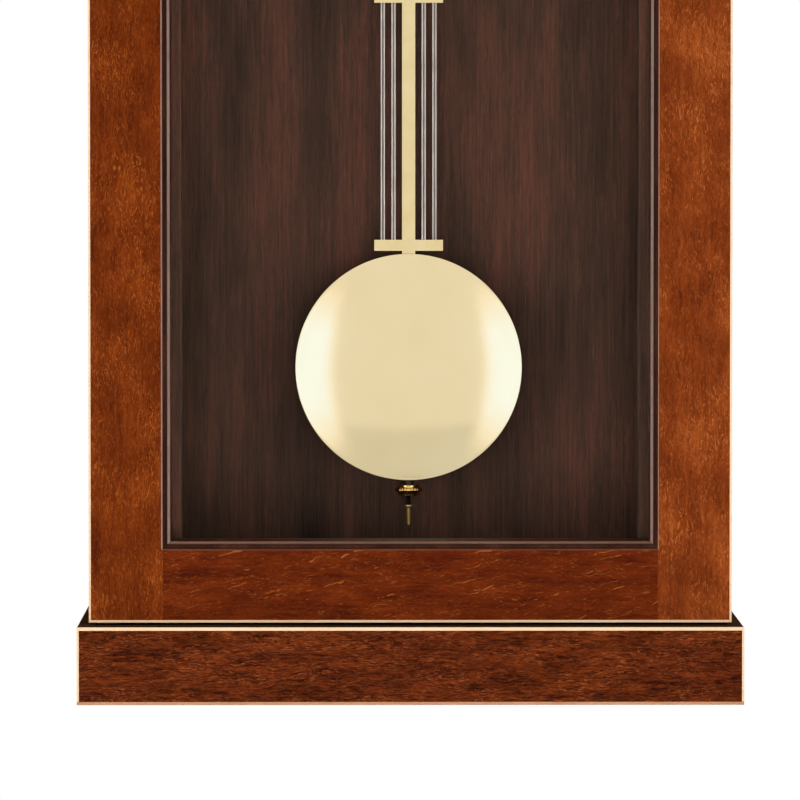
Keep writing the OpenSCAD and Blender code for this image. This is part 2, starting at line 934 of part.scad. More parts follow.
module dial_plate() {
    color(cream) difference() {
        bar_y(at_centre, y_dial, y_board, dial_r);
        bar_y(at_centre, y_dial - past, y_board + past, hour_pipe_r + hand_hole);
        bar_y(at_barrel, y_dial - past, y_board + past, eyelet_r + seat_fit);
    }
}

bezel_lip = 1.2;
bezel_edge = 0.8;
bezel_crown = 3.2;
dial_room = 0.2;
hand_hole = 1;

// Round moulding that stands on the dial board and laps over the dial's edge
module bezel() {
    crown_r = bezel_r - bezel_crown;
    seat_r = dial_r + dial_room;
    color(brass) translate([0, y_board, z_dial]) rotate([90, 0, 0])
        rotate_extrude($fn = 128) polygon(concat(
            [[seat_r, bezel_lip], [seat_r, 0], [bezel_r, 0], [bezel_r, bezel_lip]],
            [for (a = [10 : 10 : 90])
                [crown_r + bezel_crown * cos(a), bezel_lip + (bezel_h - bezel_lip) * sin(a)]],
            [[bezel_in, bezel_lip + bezel_edge], [bezel_in, bezel_lip]]
        ));
}

eyelet_l = 3;

module winding_eyelet() {
    color(brass) difference() {
        union() {
            bar_y(at_barrel, y_dial - eyelet_rim_t, y_dial, eyelet_r + eyelet_rim);
            bar_y(at_barrel, y_dial - eyelet_rim_t, y_dial + eyelet_l, eyelet_r);
        }
        bar_y(at_barrel, y_dial - past, y_dial + eyelet_l + past, eyelet_r - eyelet_wall);
    }
}

// Movement plate with round corners, from y0 back to y0 + plate_t
module plate_blank(y0) {
    edge_r = pillar_r + pillar_rim;
    box([-plate_w / 2, y0, plate_lo + edge_r], [plate_w / 2, y0 + plate_t, plate_hi - edge_r]);
    box([edge_r - plate_w / 2, y0, plate_lo], [plate_w / 2 - edge_r, y0 + plate_t, plate_hi]);
    for (x = [edge_r - plate_w / 2, plate_w / 2 - edge_r], z = [plate_lo + edge_r, plate_hi - edge_r])
        bar_y([x, z], y0, y0 + plate_t, edge_r);
}

// Holes that both plates share: pillars and small pivots
module plate_holes(y0, arbors) {
    for (p = pillars) bar_y(p, y0 - past, y0 + plate_t + past, pillar_end_r + seat_fit);
    for (p = arbors) bar_y(p, y0 - past, y0 + plate_t + past, pivot_small_r + run_fit);
}

module front_plate() {
    color(brass) {
        difference() {
            plate_blank(y_front_plate);
            plate_holes(y_front_plate, [at_mid, at_third, at_escape, at_anchor]);
            bar_y(at_centre, y_front_plate - past, y_inside + past, arbor_r + run_fit);
            bar_y(at_barrel, y_front_plate - past, y_inside + past, arbor_large_r + run_fit);
        }
        bar_y(at_minute, y_hour_wheel - past, y_front_plate + past, arbor_r);
        bar_y(at_barrel + click_pivot, y_ratchet, y_front_plate + past, click_stud_r);
    }
}

module back_plate() {
    color(brass) difference() {
        plate_blank(y_back_plate);
        plate_holes(y_back_plate, [at_mid, at_third, at_escape, at_centre]);
        bar_y(at_anchor, y_back_plate - past, y_outside + past, arbor_r + run_fit);
        bar_y(at_barrel, y_back_plate - past, y_outside + past, arbor_large_r + run_fit);
    }
}

module plate_pillars() {
    color(brass) for (p = pillars) {
        bar_y(p, y_inside, y_back_plate, pillar_r);
        bar_y(p, y_front_plate, y_outside, pillar_end_r);
    }
}

module movement_posts() {
    color(brass) difference() {
        for (p = pillars) bar_y(p, y_board_back, y_front_plate, pillar_r);
        screw_bores(movement_screws);
    }
}

// Bracket on the back plate, with the upper chop pinned between its cheeks
module suspension_bracket() {
    cheek_x = chop_w / 2 + seat_fit + cheek_t;
    z_pin = z_chop_up + chop_h / 2;
    z_cheek = z_chop_up - chop_lip;
    y_chop = y_pendulum - chop_d / 2;
    y_cheek = y_chop + chop_d + cheek_past;
    color(brass) {
        difference() {
            box([-cheek_x, y_outside, z_cheek], [cheek_x, y_cheek, z_chop_up + chop_h + cheek_t]);
            box(
                [-chop_w / 2 - seat_fit, y_chop - slot_room, z_cheek - past],
                [chop_w / 2 + seat_fit, y_cheek + past, z_chop_up + chop_h + seat_fit]
            );
            translate([0, y_pendulum, z_pin]) rotate([0, 90, 0])
                cylinder(h = 2 * cheek_x + past, r = suspension_pin_r + seat_fit, center = true);
        }
        box([-chop_w / 2, y_chop, z_chop_up], [chop_w / 2, y_chop + chop_d, z_chop_up + chop_h]);
        translate([0, y_pendulum, z_pin]) rotate([0, 90, 0])
            cylinder(h = 2 * cheek_x, r = suspension_pin_r, center = true);
    }
}

module suspension_spring() {
    color(steel) translate([0, y_pendulum, z_suspension])
        cube([spring_t, spring_w, spring_free], center = true);
}

// Lower chop, open below for the rod, which hangs on its pin
module suspension_lower_chop() {
    color(brass) {
        difference() {
            box(
                [-chop_w / 2, y_pendulum - chop_d / 2, z_chop_low - chop_h - chop_lip],
                [chop_w / 2, y_pendulum + chop_d / 2, z_chop_low]
            );
            box(
                [-chop_w, y_pendulum - rod_t / 2 - seat_fit, z_chop_low - chop_h - chop_lip - past],
                [chop_w, y_pendulum + rod_t / 2 + seat_fit, z_rod_top + seat_fit]
            );
            bar_y([0, z_hook], y_pendulum - chop_d, y_pendulum + chop_d, suspension_pin_r + seat_fit);
        }
        bar_y([0, z_hook], y_pendulum - chop_d / 2, y_pendulum + chop_d / 2, suspension_pin_r);
    }
}

// Flat rod with its hook hole, the threaded stud below the bob and the stop at its end
module pendulum_rod() {
    z_stud = z_bob - bob_r - stud_out;
    z_stop = z_bob - bob_r - stop_drop;
    color(brass) {
        difference() {
            box(
                [-rod_w / 2, y_pendulum - rod_t / 2, z_bob - rod_end],
                [rod_w / 2, y_pendulum + rod_t / 2, z_rod_top]
            );
            bar_y([0, z_hook], y_pendulum - rod_t, y_pendulum + rod_t, suspension_pin_r + seat_fit);
        }
        bar_z(0, y_pendulum, z_stud, z_bob - rod_end, stud_r);
        bar_z(0, y_pendulum, z_stop - stop_h, z_stop, stop_r);
    }
}

z_lyre_low = z_bob + lyre_low;
z_lyre_high = z_lyre_low + lyre_span;
z_lyre_in = z_lyre_low + lyre_h / 2;
z_lyre_out = z_lyre_high - lyre_h / 2;
lyre_cap = 1.4;
lyre_socket = lyre_h - lyre_cap;
lyre_rods_x = [-lyre_outer, -lyre_inner, lyre_inner, lyre_outer];

module lyre_brackets() {
    color(brass) difference() {
        for (z = [z_lyre_low, z_lyre_high])
            translate([0, y_pendulum, z]) cube([lyre_w, lyre_d, lyre_h], center = true);
        box(
            [-rod_w / 2 - seat_fit, y_pendulum - rod_t / 2 - seat_fit, z_lyre_low - lyre_h],
            [rod_w / 2 + seat_fit, y_pendulum + rod_t / 2 + seat_fit, z_lyre_high + lyre_h]
        );
        for (x = lyre_rods_x)
            bar_z(x, y_pendulum, z_lyre_in - lyre_socket, z_lyre_out + lyre_socket, lyre_rod_r + seat_fit);
    }
}

module lyre_rods() {
    rod_in = lyre_socket - seat_fit;
    color(steel) for (x = lyre_rods_x)
        bar_z(x, y_pendulum, z_lyre_in - rod_in, z_lyre_out + rod_in, lyre_rod_r);
}

// Lens of the bob: flat at the back, swelling to the front, smaller all round by the inset
module bob_lens(inset, back) {
    intersection() {
        translate([0, y_bob_front + bob_sphere_r, z_bob]) sphere(r = bob_sphere_r - inset, $fn = 400);
        bar_y([0, z_bob], y_bob_front - past, y_bob_back + back, bob_r - inset);
    }
}

// Way for the rod and the stud through the bob
module bob_channel() {
    box(
        [-rod_w / 2 - bob_fit, y_pendulum - rod_t / 2 - bob_fit, z_bob - channel_end],
        [rod_w / 2 + bob_fit, y_pendulum + rod_t / 2 + bob_fit, z_bob + bob_r + past]
    );
    bar_z(0, y_pendulum, z_bob - bob_r - past, z_bob - rod_end, stud_r + bob_fit);
}

module bob_front_cover() {
    color(brass) difference() {
        bob_lens(0, 0);
        bob_lens(bob_skin, past);
        bob_channel();
    }
}

module bob_weight() {
    color(steel) difference() {
        bob_lens(bob_skin + weight_gap, 0);
        bob_channel();
    }
}

// Rating nut: neck, knurled disc with a rounded rim, and a collar
module rating_nut() {
    bore_r = stud_r + run_fit;
    disc_z = -nut_neck_h - nut_h / 2;
    low_z = -nut_neck_h - nut_h;
    color(brass) translate([0, y_pendulum, z_nut])
        rotate_extrude() polygon(concat(
            [[bore_r, low_z - nut_collar_h], [nut_collar_r, low_z - nut_collar_h], [nut_collar_r, low_z]],
            [for (a = [-60 : 20 : 60])
                [nut_r - nut_round * (1 - cos(a)), disc_z + nut_h / 2 * sin(a) / sin(60)]],
            [[nut_neck_r, -nut_neck_h], [nut_neck_r, 0], [bore_r, 0]]
        ));
}

// Arm of the anchor from its hub to the pallet at one side of the escape wheel
module pallet_arm() {
    pallet_r = escape_r + pallet_clear;
    pallet_mid = polar(pallet_r + pallet_l / 2, -45);
    rise = [0, escape_rise - suspension_rise];
    arm = pallet_mid - rise;
    along_y(at_escape, y_escape - past) linear_extrude(anchor_t) {
        rotate(-45) translate([pallet_r, -pallet_w / 2]) square([pallet_l, pallet_w]);
        translate(rise) rotate(atan2(arm[1], arm[0])) translate([0, -anchor_arm_w / 2])
            square([norm(arm), anchor_arm_w]);
    }
}

// Anchor on its arbor, and the crutch behind the back plate with a fork round the rod
module anchor_and_crutch() {
    y_crutch = y_outside + crutch_back;
    y_fork = y_pendulum + rod_t / 2 + fork_past;
    fork_x = rod_w / 2 + crutch_gap;
    fork_out = fork_x + crutch_t;
    z_fork = z_suspension - crutch_l;
    color(steel) {
        both_sides() pallet_arm();
        bar_y(at_anchor, y_escape - past, y_escape - past + anchor_t, anchor_arm_w);
        bar_y(at_anchor, y_front_plate, y_inside + end_shake + past, pivot_small_r);
        bar_y(at_anchor, y_inside + end_shake, y_crutch + crutch_t, arbor_r);
        bar_y(at_anchor, y_crutch, y_crutch + crutch_t, crutch_w);
        box([-crutch_w / 2, y_crutch, z_fork], [crutch_w / 2, y_crutch + crutch_t, z_suspension]);
        box([-fork_out, y_crutch, z_fork], [fork_out, y_crutch + crutch_t, z_fork + fork_h]);
        both_sides() box([fork_x, y_crutch, z_fork], [fork_out, y_fork, z_fork + fork_h]);
    }
}

// Centre arbor: wheel, pinion, and a long front end that carries the hands
module centre_arbor() {
    color(brass) {
        wheel(at_centre, at_third, centre_teeth, centre_module, y_centre_wheel, wheel_t);
        pinion(at_centre, at_mid, large_leaves, mid_module, y_mid_wheel - leaf_past, leaf_span);
        bar_y(at_centre, y_inside + end_shake, y_back_plate - end_shake, cannon_r);
        bar_y(at_centre, y_back_plate - end_shake - past, y_outside, pivot_small_r);
        bar_y(at_centre, y_arbor_tip, y_inside + end_shake + past, arbor_r);
    }
}

module cannon_pinion() {
    color(brass) difference() {
        union() {
            pinion(at_centre, at_minute, cannon_leaves, motion_module, y_cannon - leaf_l, leaf_l);
            bar_y(at_centre, y_minute_hand, y_cannon, cannon_r);
        }
        bar_y(at_centre, y_minute_hand - past, y_cannon + past, arbor_r + seat_fit);
    }
}

module minute_wheel() {
    color(brass) difference() {
        union() {
            wheel(at_minute, at_centre, minute_wheel_teeth, motion_module, y_minute_wheel, motion_t);
            pinion(at_minute, at_centre, minute_leaves, motion_module, y_hour_wheel - minute_leaf_past,
                y_minute_wheel - y_hour_wheel + minute_leaf_past);
        }
        bar_y(at_minute, y_hour_wheel - 2 * past, y_front_plate, arbor_r + run_fit);
    }
}

module hour_wheel() {
    color(brass) difference() {
        union() {
            wheel(at_centre, at_minute, hour_teeth, motion_module, y_hour_wheel, motion_t);
            bar_y(at_centre, y_hour_hand, y_hour_wheel + motion_t, hour_pipe_r);
        }
        bar_y(at_centre, y_hour_hand - past, y_hour_wheel + motion_t + past, cannon_r + run_fit);
    }
}

// Leaf-shaped hand: half-width along its length, narrow at the boss and pointed at the tip
function leaf_half(t, slim, belly) =
    t < 0.62 ? slim + (belly - slim) * pow(sin(90 * t / 0.62), 2) : belly * cos(90 * (t - 0.62) / 0.38);

module hand(length, belly, boss_r, bore_r) {
    steps = 24;
    slim = belly * 0.32;
    sides = [for (i = [0 : steps]) [length * i / steps, leaf_half(i / steps, slim, belly)]];
    difference() {
        union() {
            linear_extrude(hand_t)
                polygon(concat(sides, [for (i = [steps - 1 : -1 : 0]) [sides[i][0], -sides[i][1]]]));
            cylinder(h = hand_t, r = boss_r);
        }
        translate([0, 0, -past]) cylinder(h = hand_t + 2 * past, r = bore_r);
    }
}

minute_belly = 3.2;
minute_boss = 2;
hour_belly = 4;
hour_boss = 2.2;
hand_nut_rim = 0.8;
hand_nut_back = 0.3;
hour_angle = 30 * shown_hour + shown_minute / 2;
minute_angle = 6 * shown_minute;

module minute_hand() {
    color(black) along_y(at_centre, y_minute_hand) rotate(minute_angle - 90)
        hand(minute_len, minute_belly, cannon_r + minute_boss, cannon_r + seat_fit);
}

module hour_hand() {
    color(black) along_y(at_centre, y_hour_hand) rotate(hour_angle - 90)
        hand(hour_len, hour_belly, hour_pipe_r + hour_boss, hour_pipe_r + seat_fit);
}

module hand_nut() {
    color(brass) difference() {
        bar_y(at_centre, y_arbor_tip + hand_nut_back, y_minute_hand, cannon_r + hand_nut_rim);
        bar_y(at_centre, y_arbor_tip - past, y_minute_hand + past, arbor_r + seat_fit);
    }
}

module third_arbor() {
    color(brass) {
        arbor(at_third, arbor_small_r);
        wheel(at_third, at_escape, third_teeth, third_module, y_third_wheel, wheel_t);
        pinion(at_third, at_centre, small_leaves, centre_module, y_centre_wheel - leaf_past, leaf_span);
    }
}

escape_tooth_h = 2.7;

// Escape wheel with slender teeth that lean forwards
module escape_arbor() {
    pitch = 360 / escape_teeth;
    root_r = escape_r - escape_tooth_h;
    outline = [
        for (i = [0 : escape_teeth - 1],
            p = [[root_r, 0], [escape_r, pitch * 0.45], [escape_r, pitch * 0.52], [root_r, pitch * 0.6]])
            polar(p[0], pitch * i + p[1])
    ];
    color(brass) {
        arbor(at_escape, arbor_small_r);
        along_y(at_escape, y_escape) linear_extrude(escape_t) polygon(outline);
        pinion(at_escape, at_third, small_leaves, third_module, y_third_wheel - leaf_past, leaf_span);
    }
}

module intermediate_arbor() {
    color(brass) {
        arbor(at_mid, arbor_r);
        wheel(at_mid, at_centre, mid_teeth, mid_module, y_mid_wheel, wheel_t);
        pinion(at_mid, at_barrel, large_leaves, barrel_module, y_great - leaf_past, great_t + 2 * leaf_past);
    }
}

barrel_wall = 1.2;

// Drum with its great wheel, free to turn on the winding arbor
module barrel() {
    color(brass) difference() {
        union() {
            bar_y(at_barrel, y_barrel, y_great + past / 2, barrel_r);
            wheel(at_barrel, at_mid, barrel_teeth, barrel_module, y_great, great_t);
        }
        bar_y(at_barrel, y_barrel + barrel_wall, y_great, barrel_r - barrel_wall);
        bar_y(at_barrel, y_barrel - past, y_great + great_t + past, arbor_large_r + run_fit);
    }
}

// Flat spiral from the hub out to the drum
module mainspring() {
    strip_t = 0.6;
    strip_gap = 0.3;
    side_gap = 0.4;
    steps = spring_turns * 20;
    r_in = spring_hub_r + 2 * strip_gap;
    r_out = barrel_r - barrel_wall - strip_t - strip_gap;
    turns = [for (i = [0 : steps]) [r_in + (r_out - r_in) * i / steps, 360 * spring_turns * i / steps]];
    color(steel) along_y(at_barrel, y_barrel + barrel_wall + side_gap)
        linear_extrude(barrel_len - barrel_wall - 2 * side_gap)
            polygon(concat(
                [for (t = turns) polar(t[0] + strip_t, t[1])],
                [for (i = [steps : -1 : 0]) polar(turns[i][0], turns[i][1])]
            ));
}

// Winding arbor: spring hub, ratchet wheel in front of the plate, and a square for the key
module winding_arbor() {
    pitch = 360 / ratchet_teeth;
    root_r = ratchet_r - ratchet_depth;
    outline = [
        for (i = [0 : ratchet_teeth - 1], p = [[root_r, 0.96], [ratchet_r, 0.9], [root_r, 0]])
            polar(p[0], pitch * (i + 1 - p[1]))
    ];
    hub_gap = 1;
    color(steel) {
        bar_y(at_barrel, y_ratchet, y_outside, arbor_large_r);
        bar_y(at_barrel, y_barrel + barrel_wall + hub_gap, y_great - hub_gap, spring_hub_r);
        along_y(at_barrel, y_ratchet) linear_extrude(ratchet_t) polygon(outline);
        along_y(at_barrel, y_dial) translate([-square_w / 2, -square_w / 2, 0])
            cube([square_w, square_w, y_ratchet - y_dial + past]);
    }
}

// Click on its stud, with its nose just clear of the ratchet's teeth
module click() {
    pivot = [click_pivot[0], -click_pivot[1]];
    nose = [click_tip[0], -click_tip[1]];
    beak = nose - pivot;
    color(steel) difference() {
        along_y(at_barrel, y_ratchet) linear_extrude(ratchet_t) {
            translate(pivot) circle(r = click_r);
            translate(pivot) rotate(atan2(beak[1], beak[0])) square([norm(beak), click_r]);
        }
        bar_y(at_barrel + click_pivot, y_ratchet - past, y_front_plate + past, click_stud_r + run_fit);
    }
}

case_left_side();
case_right_side();
case_top_board();
case_bottom_board();
back_panel();
jambs();
face_frame_rails();
plinth_front_board();
plinth_side_boards();
plinth_top_board();
cornice_front_board();
cornice_side_boards();
cornice_boards();
edge_lines();
screws();
hanger_plate();
pivot_bushes();
catch_magnet();
dial_board();
dial_plate();
bezel();
winding_eyelet();
front_plate();
back_plate();
plate_pillars();
movement_posts();
suspension_bracket();
suspension_spring();
door_hinge_stile();
door_latch_stile();
door_rails();
door_edge_lines();
glazing_beads();
door_glass();
glass_stops();
door_pivot_pins();
door_knob();
strike_plate();
suspension_lower_chop();
pendulum_rod();
lyre_brackets();
lyre_rods();
bob_front_cover();
bob_weight();
rating_nut();
anchor_and_crutch();
centre_arbor();
cannon_pinion();
minute_hand();
hand_nut();
hour_wheel();
hour_hand();
minute_wheel();
third_arbor();
escape_arbor();
intermediate_arbor();
barrel();
mainspring();
winding_arbor();
click();
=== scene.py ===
"""Looks of a pendulum wall clock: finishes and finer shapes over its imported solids."""
import logging
import math
from dataclasses import dataclass, replace
from enum import Enum
from typing import Any, Iterable, Sequence

import bmesh
import bpy
from bmesh.types import BMesh
from mathutils import Matrix, Vector


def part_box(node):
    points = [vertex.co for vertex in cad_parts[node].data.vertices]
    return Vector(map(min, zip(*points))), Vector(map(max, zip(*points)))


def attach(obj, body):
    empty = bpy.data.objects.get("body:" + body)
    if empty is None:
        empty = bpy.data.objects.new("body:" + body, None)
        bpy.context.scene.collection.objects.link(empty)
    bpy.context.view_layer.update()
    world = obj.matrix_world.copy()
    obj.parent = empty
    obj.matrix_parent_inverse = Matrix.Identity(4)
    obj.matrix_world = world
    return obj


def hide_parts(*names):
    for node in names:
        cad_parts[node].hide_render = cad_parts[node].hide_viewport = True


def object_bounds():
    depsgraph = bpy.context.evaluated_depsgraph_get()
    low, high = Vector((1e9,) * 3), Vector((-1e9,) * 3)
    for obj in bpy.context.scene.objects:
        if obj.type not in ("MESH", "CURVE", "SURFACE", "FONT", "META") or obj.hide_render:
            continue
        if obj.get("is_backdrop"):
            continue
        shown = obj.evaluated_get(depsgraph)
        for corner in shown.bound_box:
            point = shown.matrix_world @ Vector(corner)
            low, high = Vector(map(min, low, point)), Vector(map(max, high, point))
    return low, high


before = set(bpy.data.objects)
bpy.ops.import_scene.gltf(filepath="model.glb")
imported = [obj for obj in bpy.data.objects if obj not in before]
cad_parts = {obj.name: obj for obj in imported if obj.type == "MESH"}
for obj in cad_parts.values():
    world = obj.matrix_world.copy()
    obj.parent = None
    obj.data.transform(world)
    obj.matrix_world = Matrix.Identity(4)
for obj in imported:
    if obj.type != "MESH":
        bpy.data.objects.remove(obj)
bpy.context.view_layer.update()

LOG = logging.getLogger("wall_clock")
MM = 0.001
Point = tuple[float, float]
Place = tuple[float, float, float]
Colour = tuple[float, float, float, float]
Tree, Node, Socket = bpy.types.NodeTree, bpy.types.Node, bpy.types.NodeSocket

# sockets of a Mix node: its factor, two numbers, two colours and the mixed colour
FACTOR, LOW, HIGH, FIRST, SECOND, RESULT = 0, 2, 3, 6, 7, 2
# reach in metres within which a cut joins points
CUT_MERGE = 1e-7


class Axis(Enum):
    """The way that the grain of a board or the lines of a metal run."""

    X = 0
    Y = 1
    Z = 2


class Body(Enum):
    """The moving bodies that carry new pieces."""

    CASE = "case"
    DOOR = "door"
    PENDULUM = "pendulum"
    BOB = "bob"
    NUT = "nut"
    CENTRE = "centre"
    HOUR = "hour"


class Slot(Enum):
    """The record's material slots, listed with each board but not used in building it."""

    STILE = "stile_wood"
    RAIL = "rail_wood"
    PLINTH = "plinth_wood"
    INNER = "inner_wood"
    LIGHT = "light_wood"
    EBONY = "ebonised_wood"
    GLASS = "glass"
    BRASS = "polished_brass"
    STEEL = "bright_steel"
    BLACK = "black_steel"
    DIAL = "dial_enamel"


class Trim(Enum):
    """Where a board has a second finish."""

    NONE = 0
    LEDGE = 1
    # ARRIS: the front edge beside the pane, with a painted highlight
    ARRIS = 2
    # FOOT: the lowest strip along the foot, in painted shade
    FOOT = 3


def linear(colour: str) -> Colour:
    """Turn an sRGB hex colour into linear light.

    Args:
        colour: Six hex digits after a hash.

    Returns:
        Red, green and blue in linear light, and an alpha of 1.
    """
    parts = [int(colour[i:i + 2], 16) / 255 for i in (1, 3, 5)]
    light = [c / 12.92 if c <= 0.04045 else ((c + 0.055) / 1.055) ** 2.4 for c in parts]
    return light[0], light[1], light[2], 1.0


def add(
    tree: Tree,
    kind: str,
    inputs: dict[str | int, Any] | None = None,
    ramp: Sequence[tuple[float, str]] = (),
    **settings: Any,
) -> Node:
    """Add one node with its settings, values and links.

    Args:
        tree: The node tree that takes the node.
        kind: The node's type name.
        inputs: Socket names or numbers, each with a value or a socket to link from.
        ramp: Stops of a colour ramp, as places with hex colours.
        settings: Properties of the node itself.

    Returns:
        The new node.
    """
    node = tree.nodes.new(kind)
    for name, value in settings.items():
        setattr(node, name, value)
    for key, value in (inputs or {}).items():
        if isinstance(value, Socket):
            tree.links.new(value, node.inputs[key])
        else:
            node.inputs[key].default_value = value
    if ramp:
        stops = node.color_ramp.elements
        stops.remove(stops[1])
        stops[0].position, stops[0].color = ramp[0][0], linear(ramp[0][1])
        for place, colour in ramp[1:]:
            stops.new(place).color = linear(colour)
    return node


def cell(axis: Axis, across: float, along: float) -> Vector:
    """Give the size of one pattern cell, long along an axis.

    Args:
        axis: The way that the pattern runs.
        across: Size across the pattern in millimetres.
        along: Size along the pattern in millimetres.

    Returns:
        The cell's three sizes in metres.
    """
    size = Vector((across, across, across)) * MM
    size[axis.value] = along * MM
    return size


@dataclass(frozen=True)
class Finish:
    """A finish, made into a material once and shared by its pieces."""

    name: str

    def paint(self, tree: Tree, shader: Node) -> None:
        """Add this finish's nodes to a new material.

        Args:
            tree: The material's node tree.
            shader: Its Principled BSDF.
        """
        raise NotImplementedError

    def material(self) -> bpy.types.Material:
        """Make the material, or find the one that was made before.

        Returns:
            The material of this finish.
        """
        if self.name in bpy.data.materials:
            return bpy.data.materials[self.name]
        made = bpy.data.materials.new(self.name)
        made.use_nodes = True
        self.paint(made.node_tree, made.node_tree.nodes["Principled BSDF"])
        return made

    @staticmethod
    def cells(
        tree: Tree, place: Socket, size: Vector, turn: float = 0.0, out: str = "Fac", **noise: float
    ) -> Socket:
        """Add a noise whose cells have a real size.

        Args:
            tree: The material's node tree.
            place: The coordinates to read.
            size: Sizes of one cell in metres.
            turn: Turn of the pattern about Y in degrees.
            out: The output to give.
            noise: Values of the noise's own sockets.

        Returns:
            The noise's output socket.
        """
        spot = add(
            tree, "ShaderNodeMapping",
            {"Vector": place, "Scale": size, "Rotation": (0, math.radians(turn), 0)},
            vector_type="TEXTURE",
        )
        values = {"Vector": spot.outputs["Vector"], "Scale": 1.0, **{k.title(): v for k, v in noise.items()}}
        return add(tree, "ShaderNodeTexNoise", values).outputs[out]

    @staticmethod
    def rescale(tree: Tree, value: Socket, low: float, high: float, to_low: float, to_high: float) -> Socket:
        """Map a value from one range to another, held at both ends.

        Args:
            tree: The node tree.
            value: The value to map.
            low: Start of its range.
            high: End of its range.
            to_low: Result at the start.
            to_high: Result at the end.

        Returns:
            The mapped value's socket.
        """
        sockets = {"Value": value, "From Min": low, "From Max": high, "To Min": to_low, "To Max": to_high}
        return add(tree, "ShaderNodeMapRange", sockets).outputs["Result"]

    @staticmethod
    def reckon(tree: Tree, operation: str, *values: Socket | float) -> Socket:
        """Add one step of arithmetic, and give its result."""
        return add(tree, "ShaderNodeMath", dict(enumerate(values)), operation=operation).outputs["Value"]

    @staticmethod
    def blend(tree: Tree, amount: Socket, under: Socket, over: str) -> Socket:
        """Lay some of a hex colour over another colour, and give the result."""
        sockets = {FACTOR: amount, FIRST: under, SECOND: linear(over)}
        return add(tree, "ShaderNodeMix", sockets, data_type="RGBA").outputs[RESULT]

    @staticmethod
    def cover(tree: Tree, amount: Socket, under: Socket, over: Socket) -> None:
        """Make a mix of two shaders the material's surface."""
        mixed = add(tree, "ShaderNodeMixShader", {0: amount, 1: under, 2: over}).outputs["Shader"]
        tree.links.new(mixed, tree.nodes["Material Output"].inputs["Surface"])

    @staticmethod
    def skin(tree: Tree, shader: Node, colour: Socket, gloss: Socket, height: Socket, relief: Point) -> None:
        """Link colour, roughness and fine relief to a shader.

        Args:
            tree: The material's node tree.
            shader: Its Principled BSDF.
            colour: The colour.
            gloss: The roughness.
            height: The height that the relief follows.
            relief: Strength of the relief, and its depth in millimetres.
        """
        sockets = {"Height": height, "Strength": relief[0], "Distance": relief[1] * MM}
        bump = add(tree, "ShaderNodeBump", sockets).outputs["Normal"]
        for value, name in ((colour, "Base Color"), (gloss, "Roughness"), (bump, "Normal")):
            tree.links.new(value, shader.inputs[name])


@dataclass(frozen=True)
class LacqueredWood(Finish):
    """Stained hardwood veneer under a thin satin lacquer.

    The stain lies in soft patches, fine lines follow the grain, short ray flecks catch the light
    and open pores show as dark dashes. Cell sizes are millimetres across and along the grain.
    """

    axis: Axis
    dark: str
    middle: str
    light: str
    fleck: str
    patch: Point = (15.0, 24.0)
    streak: Point = (1.1, 34.0)
    fleck_size: Point = (0.4, 2.8)
    pore: Point = (0.4, 2.6)
    wander: float = 4.4
    streak_share: float = 0.4
    fleck_share: float = 0.75
    fleck_from: float = 0.63
    fleck_lean: float = 17.0
    pore_share: float = 0.5
    spread: float = 0.16
    slash: Point = (0.8, 30.0)
    slash_share: float = 0.0
    slash_turn: float = -15.0
    roughness: float = 0.36
    gloss: float = 0.03

    def paint(self, tree: Tree, shader: Node) -> None:
        """Add the stain, grain lines, flecks, pores and lacquer.

        Args:
            tree: The material's node tree.
            shader: Its Principled BSDF.
        """
        place = add(tree, "ShaderNodeTexCoord").outputs["Object"]
        bend = self.cells(tree, place, cell(self.axis, 5.0, 9.0), out="Color", detail=2.0)
        reach = (self.wander * MM,) * 3
        bent = add(
            tree, "ShaderNodeVectorMath", {0: bend, 1: reach, 2: place}, operation="MULTIPLY_ADD"
        ).outputs["Vector"]
        patch = self.cells(tree, bent, cell(self.axis, *self.patch), detail=4.0, roughness=0.58)
        streak = self.cells(tree, bent, cell(self.axis, *self.streak), detail=3.0, roughness=0.6)
        share = add(tree, "ShaderNodeMix", {FACTOR: self.streak_share, LOW: patch, HIGH: streak}).outputs[0]
        stain = add(
            tree, "ShaderNodeValToRGB", {"Fac": share},
            ramp=((0.5 - self.spread, self.dark), (0.5, self.middle), (0.5 + self.spread, self.light)),
        ).outputs["Color"]
        short = cell(self.axis, *self.fleck_size)
        leans = (-self.fleck_lean, self.fleck_lean)
        leaning = [self.cells(tree, bent, short, lean, detail=2.0, roughness=0.4) for lean in leans]
        fleck = self.reckon(tree, "MAXIMUM", *leaning)
        where = self.cells(tree, place, cell(self.axis, *self.patch), detail=1.0)
        bright = self.rescale(tree, fleck, self.fleck_from, self.fleck_from + 0.1, 0.0, 1.0)
        grouped = self.rescale(tree, where, 0.4, 0.62, 0.3 * self.fleck_share, self.fleck_share)
        colour = self.blend(tree, self.reckon(tree, "MULTIPLY", bright, grouped), stain, self.fleck)
        if self.slash_share:
            slash = self.cells(tree, bent, cell(self.axis, *self.slash), self.slash_turn, detail=1.0)
            drawn = self.rescale(tree, slash, 0.68, 0.74, 0.0, self.slash_share)
            colour = self.blend(tree, drawn, colour, self.fleck)
        pore = self.cells(tree, bent, cell(self.axis, *self.pore), detail=1.0)
        open_pore = self.rescale(tree, pore, 0.6, 0.7, 0.0, self.pore_share)
        colour = self.blend(tree, open_pore, colour, self.dark)
        sheen = self.rescale(tree, streak, 0.3, 0.7, self.roughness - 0.05, self.roughness + 0.07)
        sunk = self.reckon(tree, "SUBTRACT", streak, open_pore)
        self.skin(tree, shader, colour, sheen, sunk, (0.2, 0.05))
        shader.inputs["Specular IOR Level"].default_value = self.gloss


